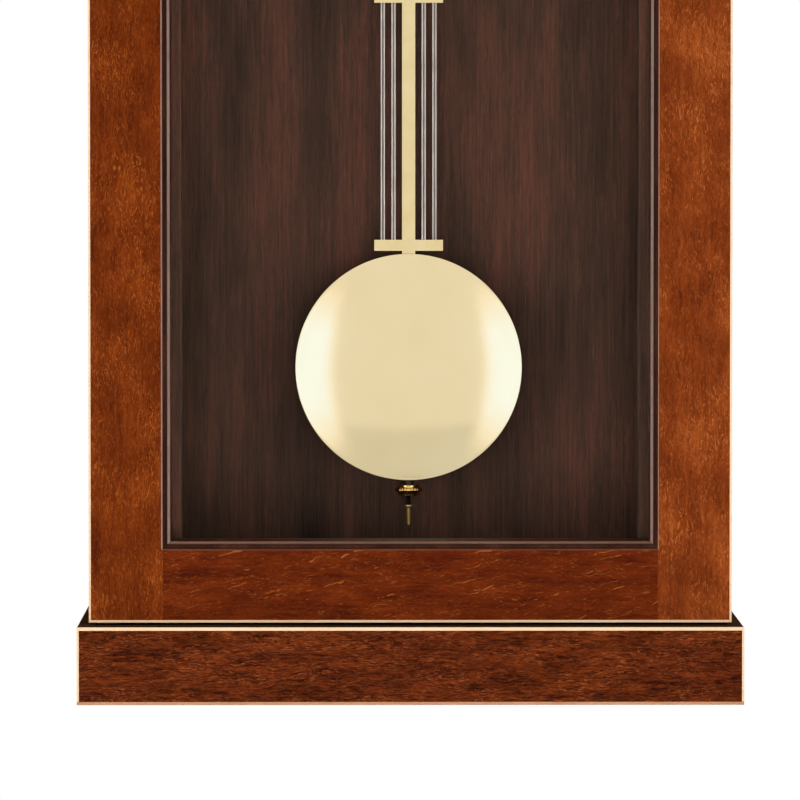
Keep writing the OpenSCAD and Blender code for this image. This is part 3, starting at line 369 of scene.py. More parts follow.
@dataclass(frozen=True)
class Metal(Finish):
    """Worked metal, from mirror bright to brushed.

    A faint drift of tone and gloss keeps it from looking like a flat colour, and fine lines from
    polishing or drawing run one way. Sizes are in millimetres.
    """

    light: str
    dark: str
    roughness: float
    axis: Axis = Axis.X
    line: Point = (0.25, 9.0)
    line_depth: float = 0.004
    drift: float = 9.0
    gloss_drift: float = 0.03

    def paint(self, tree: Tree, shader: Node) -> None:
        """Add the tone, the gloss and the fine lines.

        Args:
            tree: The material's node tree.
            shader: Its Principled BSDF.
        """
        place = add(tree, "ShaderNodeTexCoord").outputs["Object"]
        tone = self.cells(tree, place, cell(self.axis, self.drift, self.drift), detail=3.0)
        line = self.cells(tree, place, cell(self.axis, *self.line), detail=2.0)
        ramp = ((0.3, self.dark), (0.7, self.light))
        colour = add(tree, "ShaderNodeValToRGB", {"Fac": tone}, ramp=ramp).outputs["Color"]
        low, high = self.roughness - self.gloss_drift, self.roughness + self.gloss_drift
        gloss = self.rescale(tree, line, 0.3, 0.7, low, high)
        self.skin(tree, shader, colour, gloss, line, (0.3, self.line_depth))
        shader.inputs["Metallic"].default_value = 1.0


@dataclass(frozen=True)
class Paint(Finish):
    """Sprayed or stoved paint, with a faint orange peel and a drift of tone."""

    light: str
    dark: str
    roughness: float
    gloss: float = 0.5
    grain: float = 0.8
    depth: float = 0.02
    drift: float = 14.0

    def paint(self, tree: Tree, shader: Node) -> None:
        """Add the tone, the orange peel and the gloss.

        Args:
            tree: The material's node tree.
            shader: Its Principled BSDF.
        """
        place = add(tree, "ShaderNodeTexCoord").outputs["Object"]
        tone = self.cells(tree, place, cell(Axis.X, self.drift, self.drift), detail=4.0)
        peel = self.cells(tree, place, cell(Axis.X, self.grain, self.grain), detail=2.0)
        ramp = ((0.34, self.dark), (0.66, self.light))
        colour = add(tree, "ShaderNodeValToRGB", {"Fac": tone}, ramp=ramp).outputs["Color"]
        sheen = self.rescale(tree, peel, 0.3, 0.7, self.roughness - 0.04, self.roughness + 0.04)
        self.skin(tree, shader, colour, sheen, peel, (0.2, self.depth))
        shader.inputs["Specular IOR Level"].default_value = self.gloss


@dataclass(frozen=True)
class ClearGlass(Finish):
    """Float glass: clear, with a weak reflection and a trace of wiping marks; lamps shine through it."""

    tint: str
    index: float
    smear: float = 60.0

    def paint(self, tree: Tree, shader: Node) -> None:
        """Add the pane and the way for lamp light.

        Args:
            tree: The material's node tree.
            shader: Its Principled BSDF.
        """
        place = add(tree, "ShaderNodeTexCoord").outputs["Object"]
        smear = self.cells(tree, place, cell(Axis.X, self.smear, self.smear), detail=3.0)
        wiped = self.rescale(tree, smear, 0.45, 0.75, 0.0, 0.003)
        tree.links.new(wiped, shader.inputs["Roughness"])
        shader.inputs["Base Color"].default_value = linear(self.tint)
        shader.inputs["Transmission Weight"].default_value = 1.0
        shader.inputs["IOR"].default_value = self.index
        # light on its way to or from what stands behind the pane passes it straight
        path = add(tree, "ShaderNodeLightPath").outputs
        bounced = self.reckon(tree, "MAXIMUM", path["Is Diffuse Ray"], path["Is Glossy Ray"])
        passing = self.reckon(tree, "MAXIMUM", bounced, path["Is Shadow Ray"])
        clear = add(tree, "ShaderNodeBsdfTransparent", {"Color": linear(self.tint)}).outputs["BSDF"]
        self.cover(tree, passing, shader.outputs["BSDF"], clear)


# Orange-brown veneer of the door's uprights: mottled, with many short upright flecks
LEFT_STILE = LacqueredWood(
    "mahogany_left_stile", Axis.Z, dark="#491602", middle="#6e2b08", light="#8e3f10", fleck="#b46025",
    spread=0.19, fleck_size=(0.42, 3.2), fleck_from=0.597, fleck_share=0.75, fleck_lean=8.0, pore_share=0.6,
)
RIGHT_STILE = replace(
    LEFT_STILE, name="mahogany_right_stile",
    dark="#551b04", middle="#7f3711", light="#a14e1e", fleck="#c66e33",
)
# Darker red-brown cross rails with a few long light lines that rise to the right
RAIL = LacqueredWood(
    "mahogany_rail", Axis.X, dark="#451102", middle="#622206", light="#7a2f0c", fleck="#aa5c28",
    patch=(7.0, 22.0), fleck_size=(0.4, 3.4), fleck_lean=9.0, fleck_share=0.6, slash_share=0.8, wander=3.6,
)
# Busy wavy figure of the plinth: dense short light streaks over dark mottling
PLINTH = LacqueredWood(
    "mahogany_plinth", Axis.X, dark="#2b0900", middle="#562007", light="#773210", fleck="#a8592e",
    spread=0.13, patch=(5.0, 22.0), streak=(0.8, 8.0), streak_share=0.62, fleck_size=(0.36, 4.0),
    fleck_from=0.59, fleck_lean=7.0, fleck_share=0.7, wander=3.0, pore_share=0.7,
)
PLINTH_END = replace(PLINTH, name="mahogany_plinth_end", axis=Axis.Y)
CASE_SIDE = LacqueredWood(
    "mahogany_case_side", Axis.Z, dark="#4c1704", middle="#6b290b", light="#863b13", fleck="#a55a28",
    patch=(11.0, 80.0),
)
# Dark stained mahogany inside the case: fine upright grain and faint reddish streaks
PANEL = LacqueredWood(
    "mahogany_back_panel", Axis.Z, dark="#30231e", middle="#52392d", light="#754639", fleck="#8e5c4a",
    patch=(17.0, 110.0), streak=(0.8, 40.0), streak_share=0.42, fleck_size=(0.5, 9.0), fleck_lean=2.0,
    fleck_share=0.3, pore=(0.45, 9.0), pore_share=0.4, wander=1.2, spread=0.18, gloss=0.05,
)
PANEL_CROSS = replace(
    PANEL, name="mahogany_inner_rail", axis=Axis.X,
    dark="#2b1f1a", middle="#4c332a", light="#6b4236", fleck="#845646",
)
# The plinth's and cornice's flat ledges, stained almost black
LEDGE = LacqueredWood(
    "black_stained_ledge", Axis.X, dark="#332013", middle="#46301f", light="#57402f", fleck="#614a38",
    patch=(10.0, 90.0), streak=(1.0, 60.0), fleck_share=0.2, roughness=0.6, gloss=0.0,
)
# Pale maple lines let into the edges
MAPLE = LacqueredWood(
    "maple_edge_line", Axis.X, dark="#fbcb9e", middle="#ffd8ae", light="#ffe1be", fleck="#ffe9cd",
    patch=(6.0, 30.0), streak=(0.5, 18.0), fleck_share=0.3, pore_share=0.12, gloss=0.1,
)
# The same maple along the foot, darker as painted shade
SHADED_FOOT_MAPLE = replace(
    MAPLE, name="painted_shade_maple_foot_line",
    dark="#b07c58", middle="#c58f6b", light="#d5a17d", fleck="#deae8b", gloss=0.2,
)
# Black-brown stained bead in shade beside the pane
EBONY = LacqueredWood(
    "ebonised_bead", Axis.Z, dark="#2c150d", middle="#422217", light="#563224", fleck="#644030",
    patch=(9.0, 40.0), fleck_share=0.2, roughness=0.4, gloss=0.05,
)
# Painted highlight on the crest of the bead: a silvery brown, lighter on the uprights than on the cross
# pieces
HIGHLIT_UPRIGHT_BEAD = LacqueredWood(
    "painted_highlight_upright_bead", Axis.Z, dark="#6f564c", middle="#82675b", light="#90776b", fleck="#998278",
    patch=(4.0, 60.0), streak=(0.4, 40.0), fleck_share=0.2, pore_share=0.2, roughness=0.3, gloss=0.3,
)
HIGHLIT_CROSS_BEAD = replace(
    HIGHLIT_UPRIGHT_BEAD, name="painted_highlight_cross_bead", axis=Axis.X,
    dark="#553423", middle="#66422f", light="#76503c", fleck="#825c48",
)
# Painted highlight on the front edges of the door beside the bead, lighter on the uprights than on the cross
# rails
HIGHLIT_UPRIGHT_EDGES = LacqueredWood(
    "painted_highlight_upright_edges", Axis.Z, dark="#8d6653", middle="#a7806a", light="#b9957d", fleck="#c4a28a",
    patch=(5.0, 40.0), streak=(0.4, 30.0), fleck_share=0.2, pore_share=0.3, roughness=0.34, gloss=0.1,
)
HIGHLIT_CROSS_EDGES = replace(
    HIGHLIT_UPRIGHT_EDGES, name="painted_highlight_cross_edges", axis=Axis.X,
    dark="#5a2f1d", middle="#70402a", light="#825138", fleck="#8d5c44",
)
# The index is low because the pane hardly mirrors the room, as bloomed picture glass
GLASS = ClearGlass("float_glass", tint="#fdfefd", index=1.05)
# Lacquered mirror brass, pale gold under white light
BOB_BRASS = Metal(
    "polished_brass_bob", light="#f0dbb2", dark="#edd6aa", roughness=0.07, drift=30.0, gloss_drift=0.01,
    line=(0.6, 40.0), line_depth=0.0003,
)
BAR_BRASS = Metal(
    "polished_brass_bar", light="#eed7a8", dark="#e9cf9c", roughness=0.13, axis=Axis.Z, line=(0.3, 14.0),
    line_depth=0.0008, gloss_drift=0.02,
)
# Deeper gold of the small turned fittings
TURNED_BRASS = Metal("turned_brass", light="#e6bf78", dark="#d8aa5e", roughness=0.18, line=(0.2, 6.0))
# The stud's end, dulled by handling; its thread between nut and stop, and the nut's neck, darkened as painted
# shade
STUD_BRASS = Metal("dulled_stud_brass", light="#d6bb82", dark="#c2a56c", roughness=0.42, axis=Axis.Z)
SHADED_THREAD = replace(STUD_BRASS, name="painted_shade_thread", light="#574531", dark="#3c3022", roughness=0.45)
# Matt grained brass of the movement
CLOCK_BRASS = Metal(
    "grained_clock_brass", light="#c9a45a", dark="#b48f48", roughness=0.34, axis=Axis.Z, line=(0.3, 24.0),
    line_depth=0.012,
)
BRIGHT_STEEL = Metal(
    "drawn_bright_steel", light="#cfcfcd", dark="#b9b9b8", roughness=0.18, axis=Axis.Z, line=(0.2, 30.0),
)
# Satin steel of the reeded lyre rods, warm grey
ROD_STEEL = Metal(
    "satin_rod_steel", light="#cbc0b9", dark="#b9aea7", roughness=0.3, axis=Axis.Z, line=(0.2, 30.0),
    line_depth=0.002,
)
# The same steel darkened in the groove between two reeds as painted shade
SHADED_GROOVE_STEEL = replace(ROD_STEEL, name="painted_shade_groove_steel", light="#85776f", dark="#74675f", roughness=0.4)
# Blued steel gone almost black, as on hands
BLACK_STEEL = Paint("black_steel", light="#1b1c20", dark="#101114", roughness=0.32, grain=0.5, depth=0.01)
# Cast iron weight under black paint: pebbly skin
CAST_IRON = Paint("painted_cast_iron", light="#26272a", dark="#17181a", roughness=0.5, grain=1.4, depth=0.12)
# Cream enamel dial, faintly mottled
ENAMEL = Paint(
    "cream_enamel", light="#e2d8bf", dark="#d9cdb1", roughness=0.34, grain=1.1, depth=0.01, drift=22.0
)
NUMERAL_INK = Paint("black_enamel_ink", light="#1a1816", dark="#121110", roughness=0.4, grain=0.5, depth=0.01)


def merged(node: str) -> BMesh:
    """Copy a CAD node's mesh and join its loose triangles into flat faces.

    Args:
        node: The node's name.

    Returns:
        A new bmesh in the shared frame.
    """
    bm = bmesh.new()
    bm.from_mesh(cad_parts[node].data)
    bmesh.ops.remove_doubles(bm, verts=bm.verts, dist=0.002 * MM)
    bmesh.ops.dissolve_limit(bm, angle_limit=math.radians(0.4), verts=bm.verts, edges=bm.edges)
    return bm


def cut(bm: BMesh, height: float, **settings: bool) -> None:
    """Cut a whole shape at a level.

    Args:
        bm: The shape.
        height: The level in metres.
        settings: Further settings of the cut, such as a side to clear.
    """
    whole = list(bm.verts) + list(bm.edges) + list(bm.faces)
    bmesh.ops.bisect_plane(
        bm, geom=whole, plane_co=(0, 0, height), plane_no=(0, 0, 1), dist=CUT_MERGE, **settings
    )


def round_over(
    bm: BMesh, edges: list[bmesh.types.BMEdge], width: float, steps: int
) -> list[bmesh.types.BMFace]:
    """Round some edges, width in millimetres, and give the new faces."""
    return bmesh.ops.bevel(
        bm, geom=edges, offset=width * MM, offset_type="OFFSET", segments=steps, profile=0.5, affect="EDGES",
        material=-1, clamp_overlap=True,
    )["faces"]


def ease_edges(bm: BMesh, ease: float, least: float) -> None:
    """Round the long sharp outer edges of a shape a little, as sanding does.

    Args:
        bm: The shape.
        ease: Width of the rounding in millimetres.
        least: Shortest edge to round, in millimetres.
    """
    corner = math.radians(30)
    outer = [e for e in bm.edges if e.is_manifold and e.is_convex]
    sharp = [e for e in outer if e.calc_length() > least * MM and e.calc_face_angle() > corner]
    round_over(bm, sharp, ease, 2)


def shade(bm: BMesh, limit: float) -> None:
    """Shade smoothly across edges under an angle, and sharply over it.

    Args:
        bm: The shape.
        limit: The angle in degrees.
    """
    for face in bm.faces:
        face.smooth = True
    for edge in bm.edges:
        edge.smooth = edge.is_manifold and edge.calc_face_angle() < math.radians(limit)


def arc(centre: Point, size: Point, start: float, end: float, count: int) -> list[Point]:
    """List points on part of an ellipse.

    Args:
        centre: Its centre in millimetres.
        size: Its two radii in millimetres.
        start: First angle in degrees.
        end: Last angle in degrees.
        count: Number of steps.

    Returns:
        The points, both ends included.
    """
    angles = [math.radians(start + (end - start) * i / count) for i in range(count + 1)]
    return [(centre[0] + size[0] * math.cos(a), centre[1] + size[1] * math.sin(a)) for a in angles]


def turn(bm: BMesh, section: Sequence[Point], steps: int, place: Matrix, closed: bool = False) -> None:
    """Spin a half section about its axis and put the turned shape in place.

    Args:
        bm: The mesh that takes the shape.
        section: Radius and height of each point in millimetres.
        steps: Number of steps round.
        place: From the lathe's axis, local Z, to the shared frame.
        closed: True if the last point joins the first.
    """
    lathe = bmesh.new()
    verts = [lathe.verts.new((r * MM, 0.0, h * MM)) for r, h in section]
    ends = verts[1:] + verts[:1] if closed else verts[1:]
    edges = [lathe.edges.new(pair) for pair in zip(verts, ends)]
    bmesh.ops.spin(
        lathe, geom=verts + edges, cent=(0, 0, 0), axis=(0, 0, 1), angle=2 * math.pi, steps=steps,
        use_merge=True,
    )
    bmesh.ops.remove_doubles(lathe, verts=lathe.verts, dist=0.0005 * MM)
    bmesh.ops.recalc_face_normals(lathe, faces=lathe.faces)
    lathe.transform(place)
    made = bpy.data.meshes.new("lathe")
    lathe.to_mesh(made)
    lathe.free()
    bm.from_mesh(made)
    bpy.data.meshes.remove(made)


def facing_front(x: float, y: float, z: float) -> Matrix:
    """Give the place of a shape turned about an axis that points to the front, in millimetres."""
    return Matrix.Translation(Vector((x, y, z)) * MM) @ Matrix.Rotation(math.pi / 2, 4, "X")


def upright(x: float, y: float, z: float) -> Matrix:
    """Give the place of a shape turned about an upright axis, in millimetres."""
    return Matrix.Translation(Vector((x, y, z)) * MM)


def piece(
    bm: BMesh, name: str, body: Body, finishes: Iterable[Finish], nodes: Sequence[str] = ()
) -> bpy.types.Object:
    """Make a finished piece of a bmesh: object, materials and body, hiding the nodes that it stands for.

    Args:
        bm: The shape, in the shared frame; it is freed.
        name: The piece's name.
        body: The body that carries it.
        finishes: Its finishes in the order of its faces' material numbers.
        nodes: The CAD nodes that it replaces.

    Returns:
        The new object.
    """
    mesh = bpy.data.meshes.new(name)
    bm.to_mesh(mesh)
    bm.free()
    for finish in finishes:
        mesh.materials.append(finish.material())
    made = bpy.data.objects.new(name, mesh)
    bpy.context.scene.collection.objects.link(made)
    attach(made, body.value)
    if nodes:
        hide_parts(*nodes)
    LOG.info("%s: %d faces on %s", name, len(mesh.polygons), body.value)
    return made


def dress(nodes: Sequence[str], finish: Finish) -> None:
    """Give a finish to CAD nodes that keep their own shape.

    Args:
        nodes: The nodes' names.
        finish: Their finish.
    """
    for node in nodes:
        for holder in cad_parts[node].material_slots:
            holder.material = finish.material()
        LOG.info("%s: %s", node, finish.name)


@dataclass(frozen=True)
class Board:
    """One piece that keeps its CAD shape, gets eased edges and may have a second finish."""

    node: str
    name: str
    slot: Slot
    finish: Finish
    ease: float = 0.35
    trim: Trim = Trim.NONE
    second: Finish | None = None
    arris: float = 0.6
    foot: float = 1.35

    def build(self, body: Body) -> None:
        """Copy the node, round its edges and finish it.

        Args:
            body: The body that carries it.
        """
        bm = merged(self.node)
        if self.trim is Trim.ARRIS:
            self.highlight_arris(bm)
        ease_edges(bm, self.ease, 8 * self.ease)
        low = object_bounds()[0].z + self.foot * MM
        if self.trim is Trim.FOOT:
            cut(bm, low)
        bm.normal_update()
        # level faces take the dark stain of a ledge; faces below the foot line take painted shade
        if self.trim in (Trim.LEDGE, Trim.FOOT):
            for face in bm.faces:
                level, below = abs(face.normal.z) > 0.9, face.calc_center_median().z < low
                face.material_index = int(level if self.trim is Trim.LEDGE else below)
        piece(bm, self.name, body, [f for f in (self.finish, self.second) if f], (self.node,))

    def highlight_arris(self, bm: BMesh) -> None:
        """Round the front edge beside the pane, and give it a painted highlight.

        Args:
            bm: The board.
        """
        lo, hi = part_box("glazing_beads")
        front, near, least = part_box(self.node)[0].y, 0.2 * MM, 20 * MM
        for level in (lo.z, hi.z):
            cut(bm, level)
        beside = []
        for edge in bm.edges:
            ends = [v.co for v in edge.verts]
            inside = all(lo.z - near < c.z < hi.z + near and lo.x - near < c.x < hi.x + near for c in ends)
            along = any(
                all(abs(c[axis] - side[axis]) < near for c in ends) for axis in (0, 2) for side in (lo, hi)
            )
            foremost = all(abs(c.y - front) < near for c in ends)
            if inside and along and foremost and edge.calc_length() > least:
                beside.append(edge)
        # the rounded edge takes the painted highlight
        for face in round_over(bm, beside, self.arris, 4):
            face.material_index = 1


@dataclass
class Screws:
    """Countersunk slotted screws, found as the loose shapes of one CAD node."""

    node: str = "screws"
    slot_width: float = 0.9
    slot_depth: float = 0.8

    def build(self) -> None:
        """Cut a slot across each head, and finish the screws."""
        bm = merged(self.node)
        for head in self.heads(bm):
            self.cut_slot(bm, head)
        shade(bm, 40)
        piece(bm, "slotted_screws", Body.CASE, (BRIGHT_STEEL,), (self.node,))

    @staticmethod
    def heads(bm: BMesh) -> list[bmesh.types.BMFace]:
        """Find the flat round face on top of each head, by its size and its many sides."""
        widest = max(face.calc_area() for face in bm.faces)
        return [face for face in bm.faces if face.calc_area() > 0.8 * widest and len(face.verts) > 8]

    def cut_slot(self, bm: BMesh, head: bmesh.types.BMFace) -> None:
        """Split a head's face along both sides of its slot and push the strip between them in.

        Args:
            bm: The screws.
            head: The head's flat face.
        """
        centre, normal = head.calc_center_median(), head.normal.copy()
        across = Vector((0.6, 0.0, 0.8)) if abs(normal.y) > 0.5 else Vector((0.6, 0.8, 0.0))
        half = self.slot_width / 2 * MM
        strip = [head]
        for side in (-1, 1):
            edges, verts = {e for f in strip for e in f.edges}, {v for f in strip for v in f.verts}
            split = bmesh.ops.bisect_plane(
                bm, geom=[*strip, *edges, *verts], plane_co=centre + across * half * side, plane_no=across,
                dist=CUT_MERGE,
            )
            strip = [g for g in split["geom"] if isinstance(g, bmesh.types.BMFace)]
        middle = min(strip, key=lambda f: (f.calc_center_median() - centre).length)
        bmesh.ops.inset_region(bm, faces=[middle], thickness=0.12 * MM, depth=0.0)
        bmesh.ops.translate(bm, verts=middle.verts, vec=-normal * self.slot_depth * MM)


@dataclass
class Carcase:
    """The case: sides, ends, panel, jambs, plinth, cornice and their light lines."""

    body: Body = Body.CASE
    line_ease: float = 0.16

    def build(self) -> None:
        """Ease and finish every board, and dress the fittings."""
        ledged = (
            ("plinth_front_board", "plinth_front", PLINTH),
            ("plinth_side_boards", "plinth_ends", PLINTH_END),
            ("plinth_top_board", "plinth_closing_board", PLINTH),
            ("cornice_front_board", "cornice_front", PLINTH),
            ("cornice_side_boards", "cornice_ends", PLINTH_END),
            ("cornice_boards", "cornice_cap", PLINTH),
        )
        boards = [
            Board("case_left_side", "left_side_board", Slot.RAIL, CASE_SIDE),
            Board("case_right_side", "right_side_board", Slot.RAIL, CASE_SIDE),
            Board("case_top_board", "top_board", Slot.INNER, PANEL_CROSS),
            Board("case_bottom_board", "bottom_board", Slot.INNER, PANEL_CROSS),
            Board("back_panel", "grained_back_panel", Slot.INNER, PANEL),
            Board("jambs", "dial_jambs", Slot.INNER, PANEL, 0.6),
            Board("face_frame_rails", "face_rails", Slot.INNER, PANEL_CROSS),
            *(
                Board(node, name, Slot.PLINTH, wood, trim=Trim.LEDGE, second=LEDGE)
                for node, name, wood in ledged
            ),
            # the maple lines' lowest strip, along the foot, takes painted shade
            Board(
                "edge_lines", "plinth_edge_lines", Slot.LIGHT, MAPLE, self.line_ease, Trim.FOOT, SHADED_FOOT_MAPLE
            ),
            Board("dial_board", "dial_backing_board", Slot.INNER, PANEL),
            Board("hanger_plate", "keyhole_hanger", Slot.STEEL, BRIGHT_STEEL, 0.2),
        ]
        for board in boards:
            board.build(self.body)
        dress(("catch_magnet", "pivot_bushes"), BLACK_STEEL)


@dataclass
class Door:
    """The glazed door: uprights, rails, light lines, black bead, pane and knob."""

    body: Body = Body.DOOR
    knob_at: Place = (115.5, -126.0, -255.993)
    knob_r: float = 4.6
    knob_reach: float = 11.0
    rose_r: float = 6.0
    line_ease: float = 0.16
    pane_ease: float = 0.5
    bead_w: float = 3.3
    bead_d: float = 9.0

    def build(self) -> None:
        """Make the door's pieces and dress its hidden fittings."""
        # the front edges beside the pane take a painted highlight
        highlit_edge = {"trim": Trim.ARRIS, "second": HIGHLIT_UPRIGHT_EDGES}
        for board in (
            Board("door_hinge_stile", "hinge_stile", Slot.STILE, LEFT_STILE, **highlit_edge),
            Board("door_latch_stile", "latch_stile", Slot.STILE, RIGHT_STILE, **highlit_edge),
            Board("door_rails", "cross_rails", Slot.RAIL, RAIL, trim=Trim.ARRIS, second=HIGHLIT_CROSS_EDGES),
            Board("door_edge_lines", "door_light_lines", Slot.LIGHT, MAPLE, self.line_ease),
            Board("door_glass", "glass_pane", Slot.GLASS, GLASS, self.pane_ease),
            Board("glass_stops", "pane_stops", Slot.INNER, PANEL, 0.4),
        ):
            board.build(self.body)
        self.bead()
        self.knob()
        dress(("door_pivot_pins", "strike_plate"), BRIGHT_STEEL)

    def bead(self) -> None:
        """Run the glazing bead round the pane: a round nose with a painted highlight on its crest, and a
        hollow.
        """
        lo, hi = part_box("glazing_beads")
        nose = arc((0.85, -1.85), (0.85, 1.0), 180, 0, 12)
        section = [(0.0, -self.bead_d), *nose, (1.85, -2.6), (2.5, -2.7)]
        section += [(self.bead_w, -2.3), (self.bead_w, -self.bead_d)]
        # a square ring from a lathe with four steps, then moved apart to the pane's size
        half = 20.0
        ring = [((half + out) * math.sqrt(2), height) for out, height in section]
        bm = bmesh.new()
        turn(bm, ring, 4, Matrix.Rotation(math.pi / 4, 4, "Z"), closed=True)
        apart = ((hi - lo) / 2).xz - Vector((1.0, 1.0)) * (half + self.bead_w) * MM
        for vert in bm.verts:
            vert.co.x += math.copysign(apart.x, vert.co.x)
            vert.co.y += math.copysign(apart.y, vert.co.y)
        middle = (lo + hi) / 2 / MM
        bm.transform(facing_front(middle.x, lo.y / MM - 0.6, middle.z))
        shade(bm, 40)
        bm.normal_update()
        # the crest of the nose takes a painted highlight, lighter on the uprights than on the cross pieces
        crest = lo.y + 0.95 * MM
        upright_end = (hi.z - lo.z) / 2 - self.bead_w * MM
        for face in bm.faces:
            spot = face.calc_center_median()
            if face.normal.y < -0.66 and spot.y < crest:
                face.material_index = 1 if abs(spot.z - middle.z * MM) < upright_end else 2
        finishes = (EBONY, HIGHLIT_UPRIGHT_BEAD, HIGHLIT_CROSS_BEAD)
        piece(bm, "ebonised_glazing_bead", self.body, finishes, ("glazing_beads",))

    def knob(self) -> None:
        """Turn the knob with its rose, neck and ball."""
        ball = self.knob_reach - self.knob_r
        section = [(0.0, 0.0), (self.rose_r, 0.0), (self.rose_r, 0.35)]
        section += arc((self.rose_r - 0.45, 0.6), (0.45, 0.45), 0, 100, 6)
        section += [(self.rose_r - 0.9, 0.95), (3.5, 1.35)]
        section += arc((3.5, 1.85), (0.5, 0.5), 270, 180, 5)
        section += arc((0.0, ball), (self.knob_r, self.knob_r), -48, 90, 28)
        bm = bmesh.new()
        turn(bm, section, 72, facing_front(*self.knob_at))
        shade(bm, 35)
        piece(bm, "turned_door_knob", self.body, (TURNED_BRASS,), ("door_knob",))


@dataclass
class Pendulum:
    """The pendulum: flat rod with threaded stud, lyre brackets, steel lyre rods, bob and rating nut."""

    depth: float = -34.0
    z_bob: float = -436.987
    bob_r: float = 47.5
    bob_front: float = 4.4
    bob_half_rim: float = 2.0
    sphere_r: float = 471.25
    knee: float = 41.5
    skin: float = 0.8
    rim: float = 0.3
    hub_r: float = 4.6
    bar_end: float = -476.5
    stud_r: float = 1.1
    stud_tip: float = -503.487
    pitch: float = 0.5
    stop_z: float = -494.487
    stop_h: float = 1.2
    lyre_x: tuple[float, ...] = (-10.8, -6.3, 6.3, 10.8)
    reed_x: float = 0.62
    reed: Point = (0.38, 0.45)
    rod_back: Point = (1.0, 1.4)
    nut_z: float = -484.587
    nut_r: float = 5.9
    ridges: int = 30

    def build(self) -> None:
        """Make the pendulum's pieces and dress what hides in the bob and the case."""
        self.rod()
        self.lyre()
        self.bob()
        self.nut()
        dress(("bob_weight",), CAST_IRON)
        dress(("suspension_lower_chop",), CLOCK_BRASS)
        dress(("suspension_spring",), BRIGHT_STEEL)

    def rod(self) -> None:
        """Ease the flat bar and cut a thread on the stud below it."""
        lo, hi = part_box("pendulum_rod")
        bm = merged("pendulum_rod")
        cut(bm, self.bar_end * MM, clear_inner=True)
        bmesh.ops.holes_fill(bm, edges=[e for e in bm.edges if e.is_boundary], sides=0)
        ease_edges(bm, 0.3, 1.5)
        LOG.info("rod from %.1f to %.1f mm", lo.z / MM, hi.z / MM)
        root, crest = self.stud_r - 0.22, self.stud_r
        turns = int((self.bar_end - self.stud_tip - 0.8) / self.pitch)
        thread = [(0.0, 0.0), (root - 0.1, 0.0), (root, 0.3)]
        for i in range(turns):
            thread += [(crest, 0.5 + self.pitch * (i + 0.3)), (root, 0.5 + self.pitch * (i + 0.8))]
        thread.append((root, self.bar_end - self.stud_tip))
        turn(bm, thread, 28, upright(0.0, self.depth, self.stud_tip))
        stop = [(0.6, 0.0), *arc((1.5, 0.6), (0.5, 0.6), -90, 90, 8), (0.6, self.stop_h)]
        turn(bm, stop, 36, upright(0.0, self.depth, self.stop_z - self.stop_h), closed=True)
        shade(bm, 15)
        # the thread between bar and stop takes painted shade
        for face in bm.faces:
            height = face.calc_center_median().z / MM
            face.material_index = 0 if height > self.bar_end else 1 if height > self.stop_z else 2
        finishes = (BAR_BRASS, SHADED_THREAD, STUD_BRASS)
        piece(bm, "rod_and_stud", Body.PENDULUM, finishes, ("pendulum_rod",))

    def lyre(self) -> None:
        """Ease the two brackets and draw the four rods between them, each with two reeds along its front."""
        Board("lyre_brackets", "lyre_cross_bars", Slot.BRASS, BAR_BRASS, 0.35).build(Body.PENDULUM)
        lo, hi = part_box("lyre_rods")
        bm = bmesh.new()
        section = []
        for side in (-self.reed_x, self.reed_x):
            section += arc((side, -self.reed[1]), self.reed, 180, 360, 10)
        section += arc((0.0, -self.reed[1]), self.rod_back, 0, 180, 14)[1:-1]
        for x in self.lyre_x:
            ring = [bm.verts.new(((x + a) * MM, (self.depth + b) * MM, lo.z)) for a, b in section]
            drawn = bmesh.ops.extrude_face_region(bm, geom=[bm.faces.new(ring)], use_keep_orig=True)
            tops = [g for g in drawn["geom"] if isinstance(g, bmesh.types.BMVert)]
            bmesh.ops.translate(bm, verts=tops, vec=(0, 0, hi.z - lo.z))
        bmesh.ops.recalc_face_normals(bm, faces=bm.faces)
        # the groove faces between each rod's two reeds take painted shade
        for face in bm.faces:
            at = face.calc_center_median()
            middle = min(abs(at.x / MM - x) for x in self.lyre_x) < 0.1
            face.material_index = int(middle and face.normal.y < -0.9)
        shade(bm, 50)
        piece(bm, "lyre_reeded_rods", Body.PENDULUM, (ROD_STEEL, SHADED_GROOVE_STEEL), ("lyre_rods",))

    def dome(self, inset: float, count: int, edge: float) -> list[Point]:
        """List points on the bob's domed face, from its middle out, straight past the knee.

        Args:
            inset: Depth under the outer face in millimetres.
            count: Number of steps.
            edge: Radius of the last point in millimetres.

        Returns:
            Radius and height of each point.
        """
        ball = self.sphere_r - inset
        low = self.bob_front - self.sphere_r
        knee = min(self.knee, edge)
        high = math.sqrt(ball * ball - knee * knee)
        points = []
        for r in (edge * i / count for i in range(count + 1)):
            rise = math.sqrt(ball * ball - r * r) if r < knee else high - (r - knee) * knee / high
            points.append((r, low + rise))
        return points

    def bob(self) -> None:
        """Spin the brass cover: a shallow dome, a small round rim and a thin wall behind it."""
        face = self.dome(0.0, 40, self.bob_r - self.rim)
        rolled = arc((self.bob_r - self.rim, face[-1][1] - self.rim), (self.rim, self.rim), 84, 0, 8)
        inner = self.bob_r - self.skin
        wall = [(self.bob_r, -self.bob_half_rim), (inner, -self.bob_half_rim), (inner, 0.8)]
        back = list(reversed(self.dome(self.skin, 12, inner - 0.4)))
        bm = bmesh.new()
        turn(bm, face + rolled + wall + back, 256, facing_front(0.0, self.depth, self.z_bob))
        shade(bm, 30)
        piece(bm, "domed_bob_cover", Body.BOB, (BOB_BRASS,), ("bob_front_cover",))

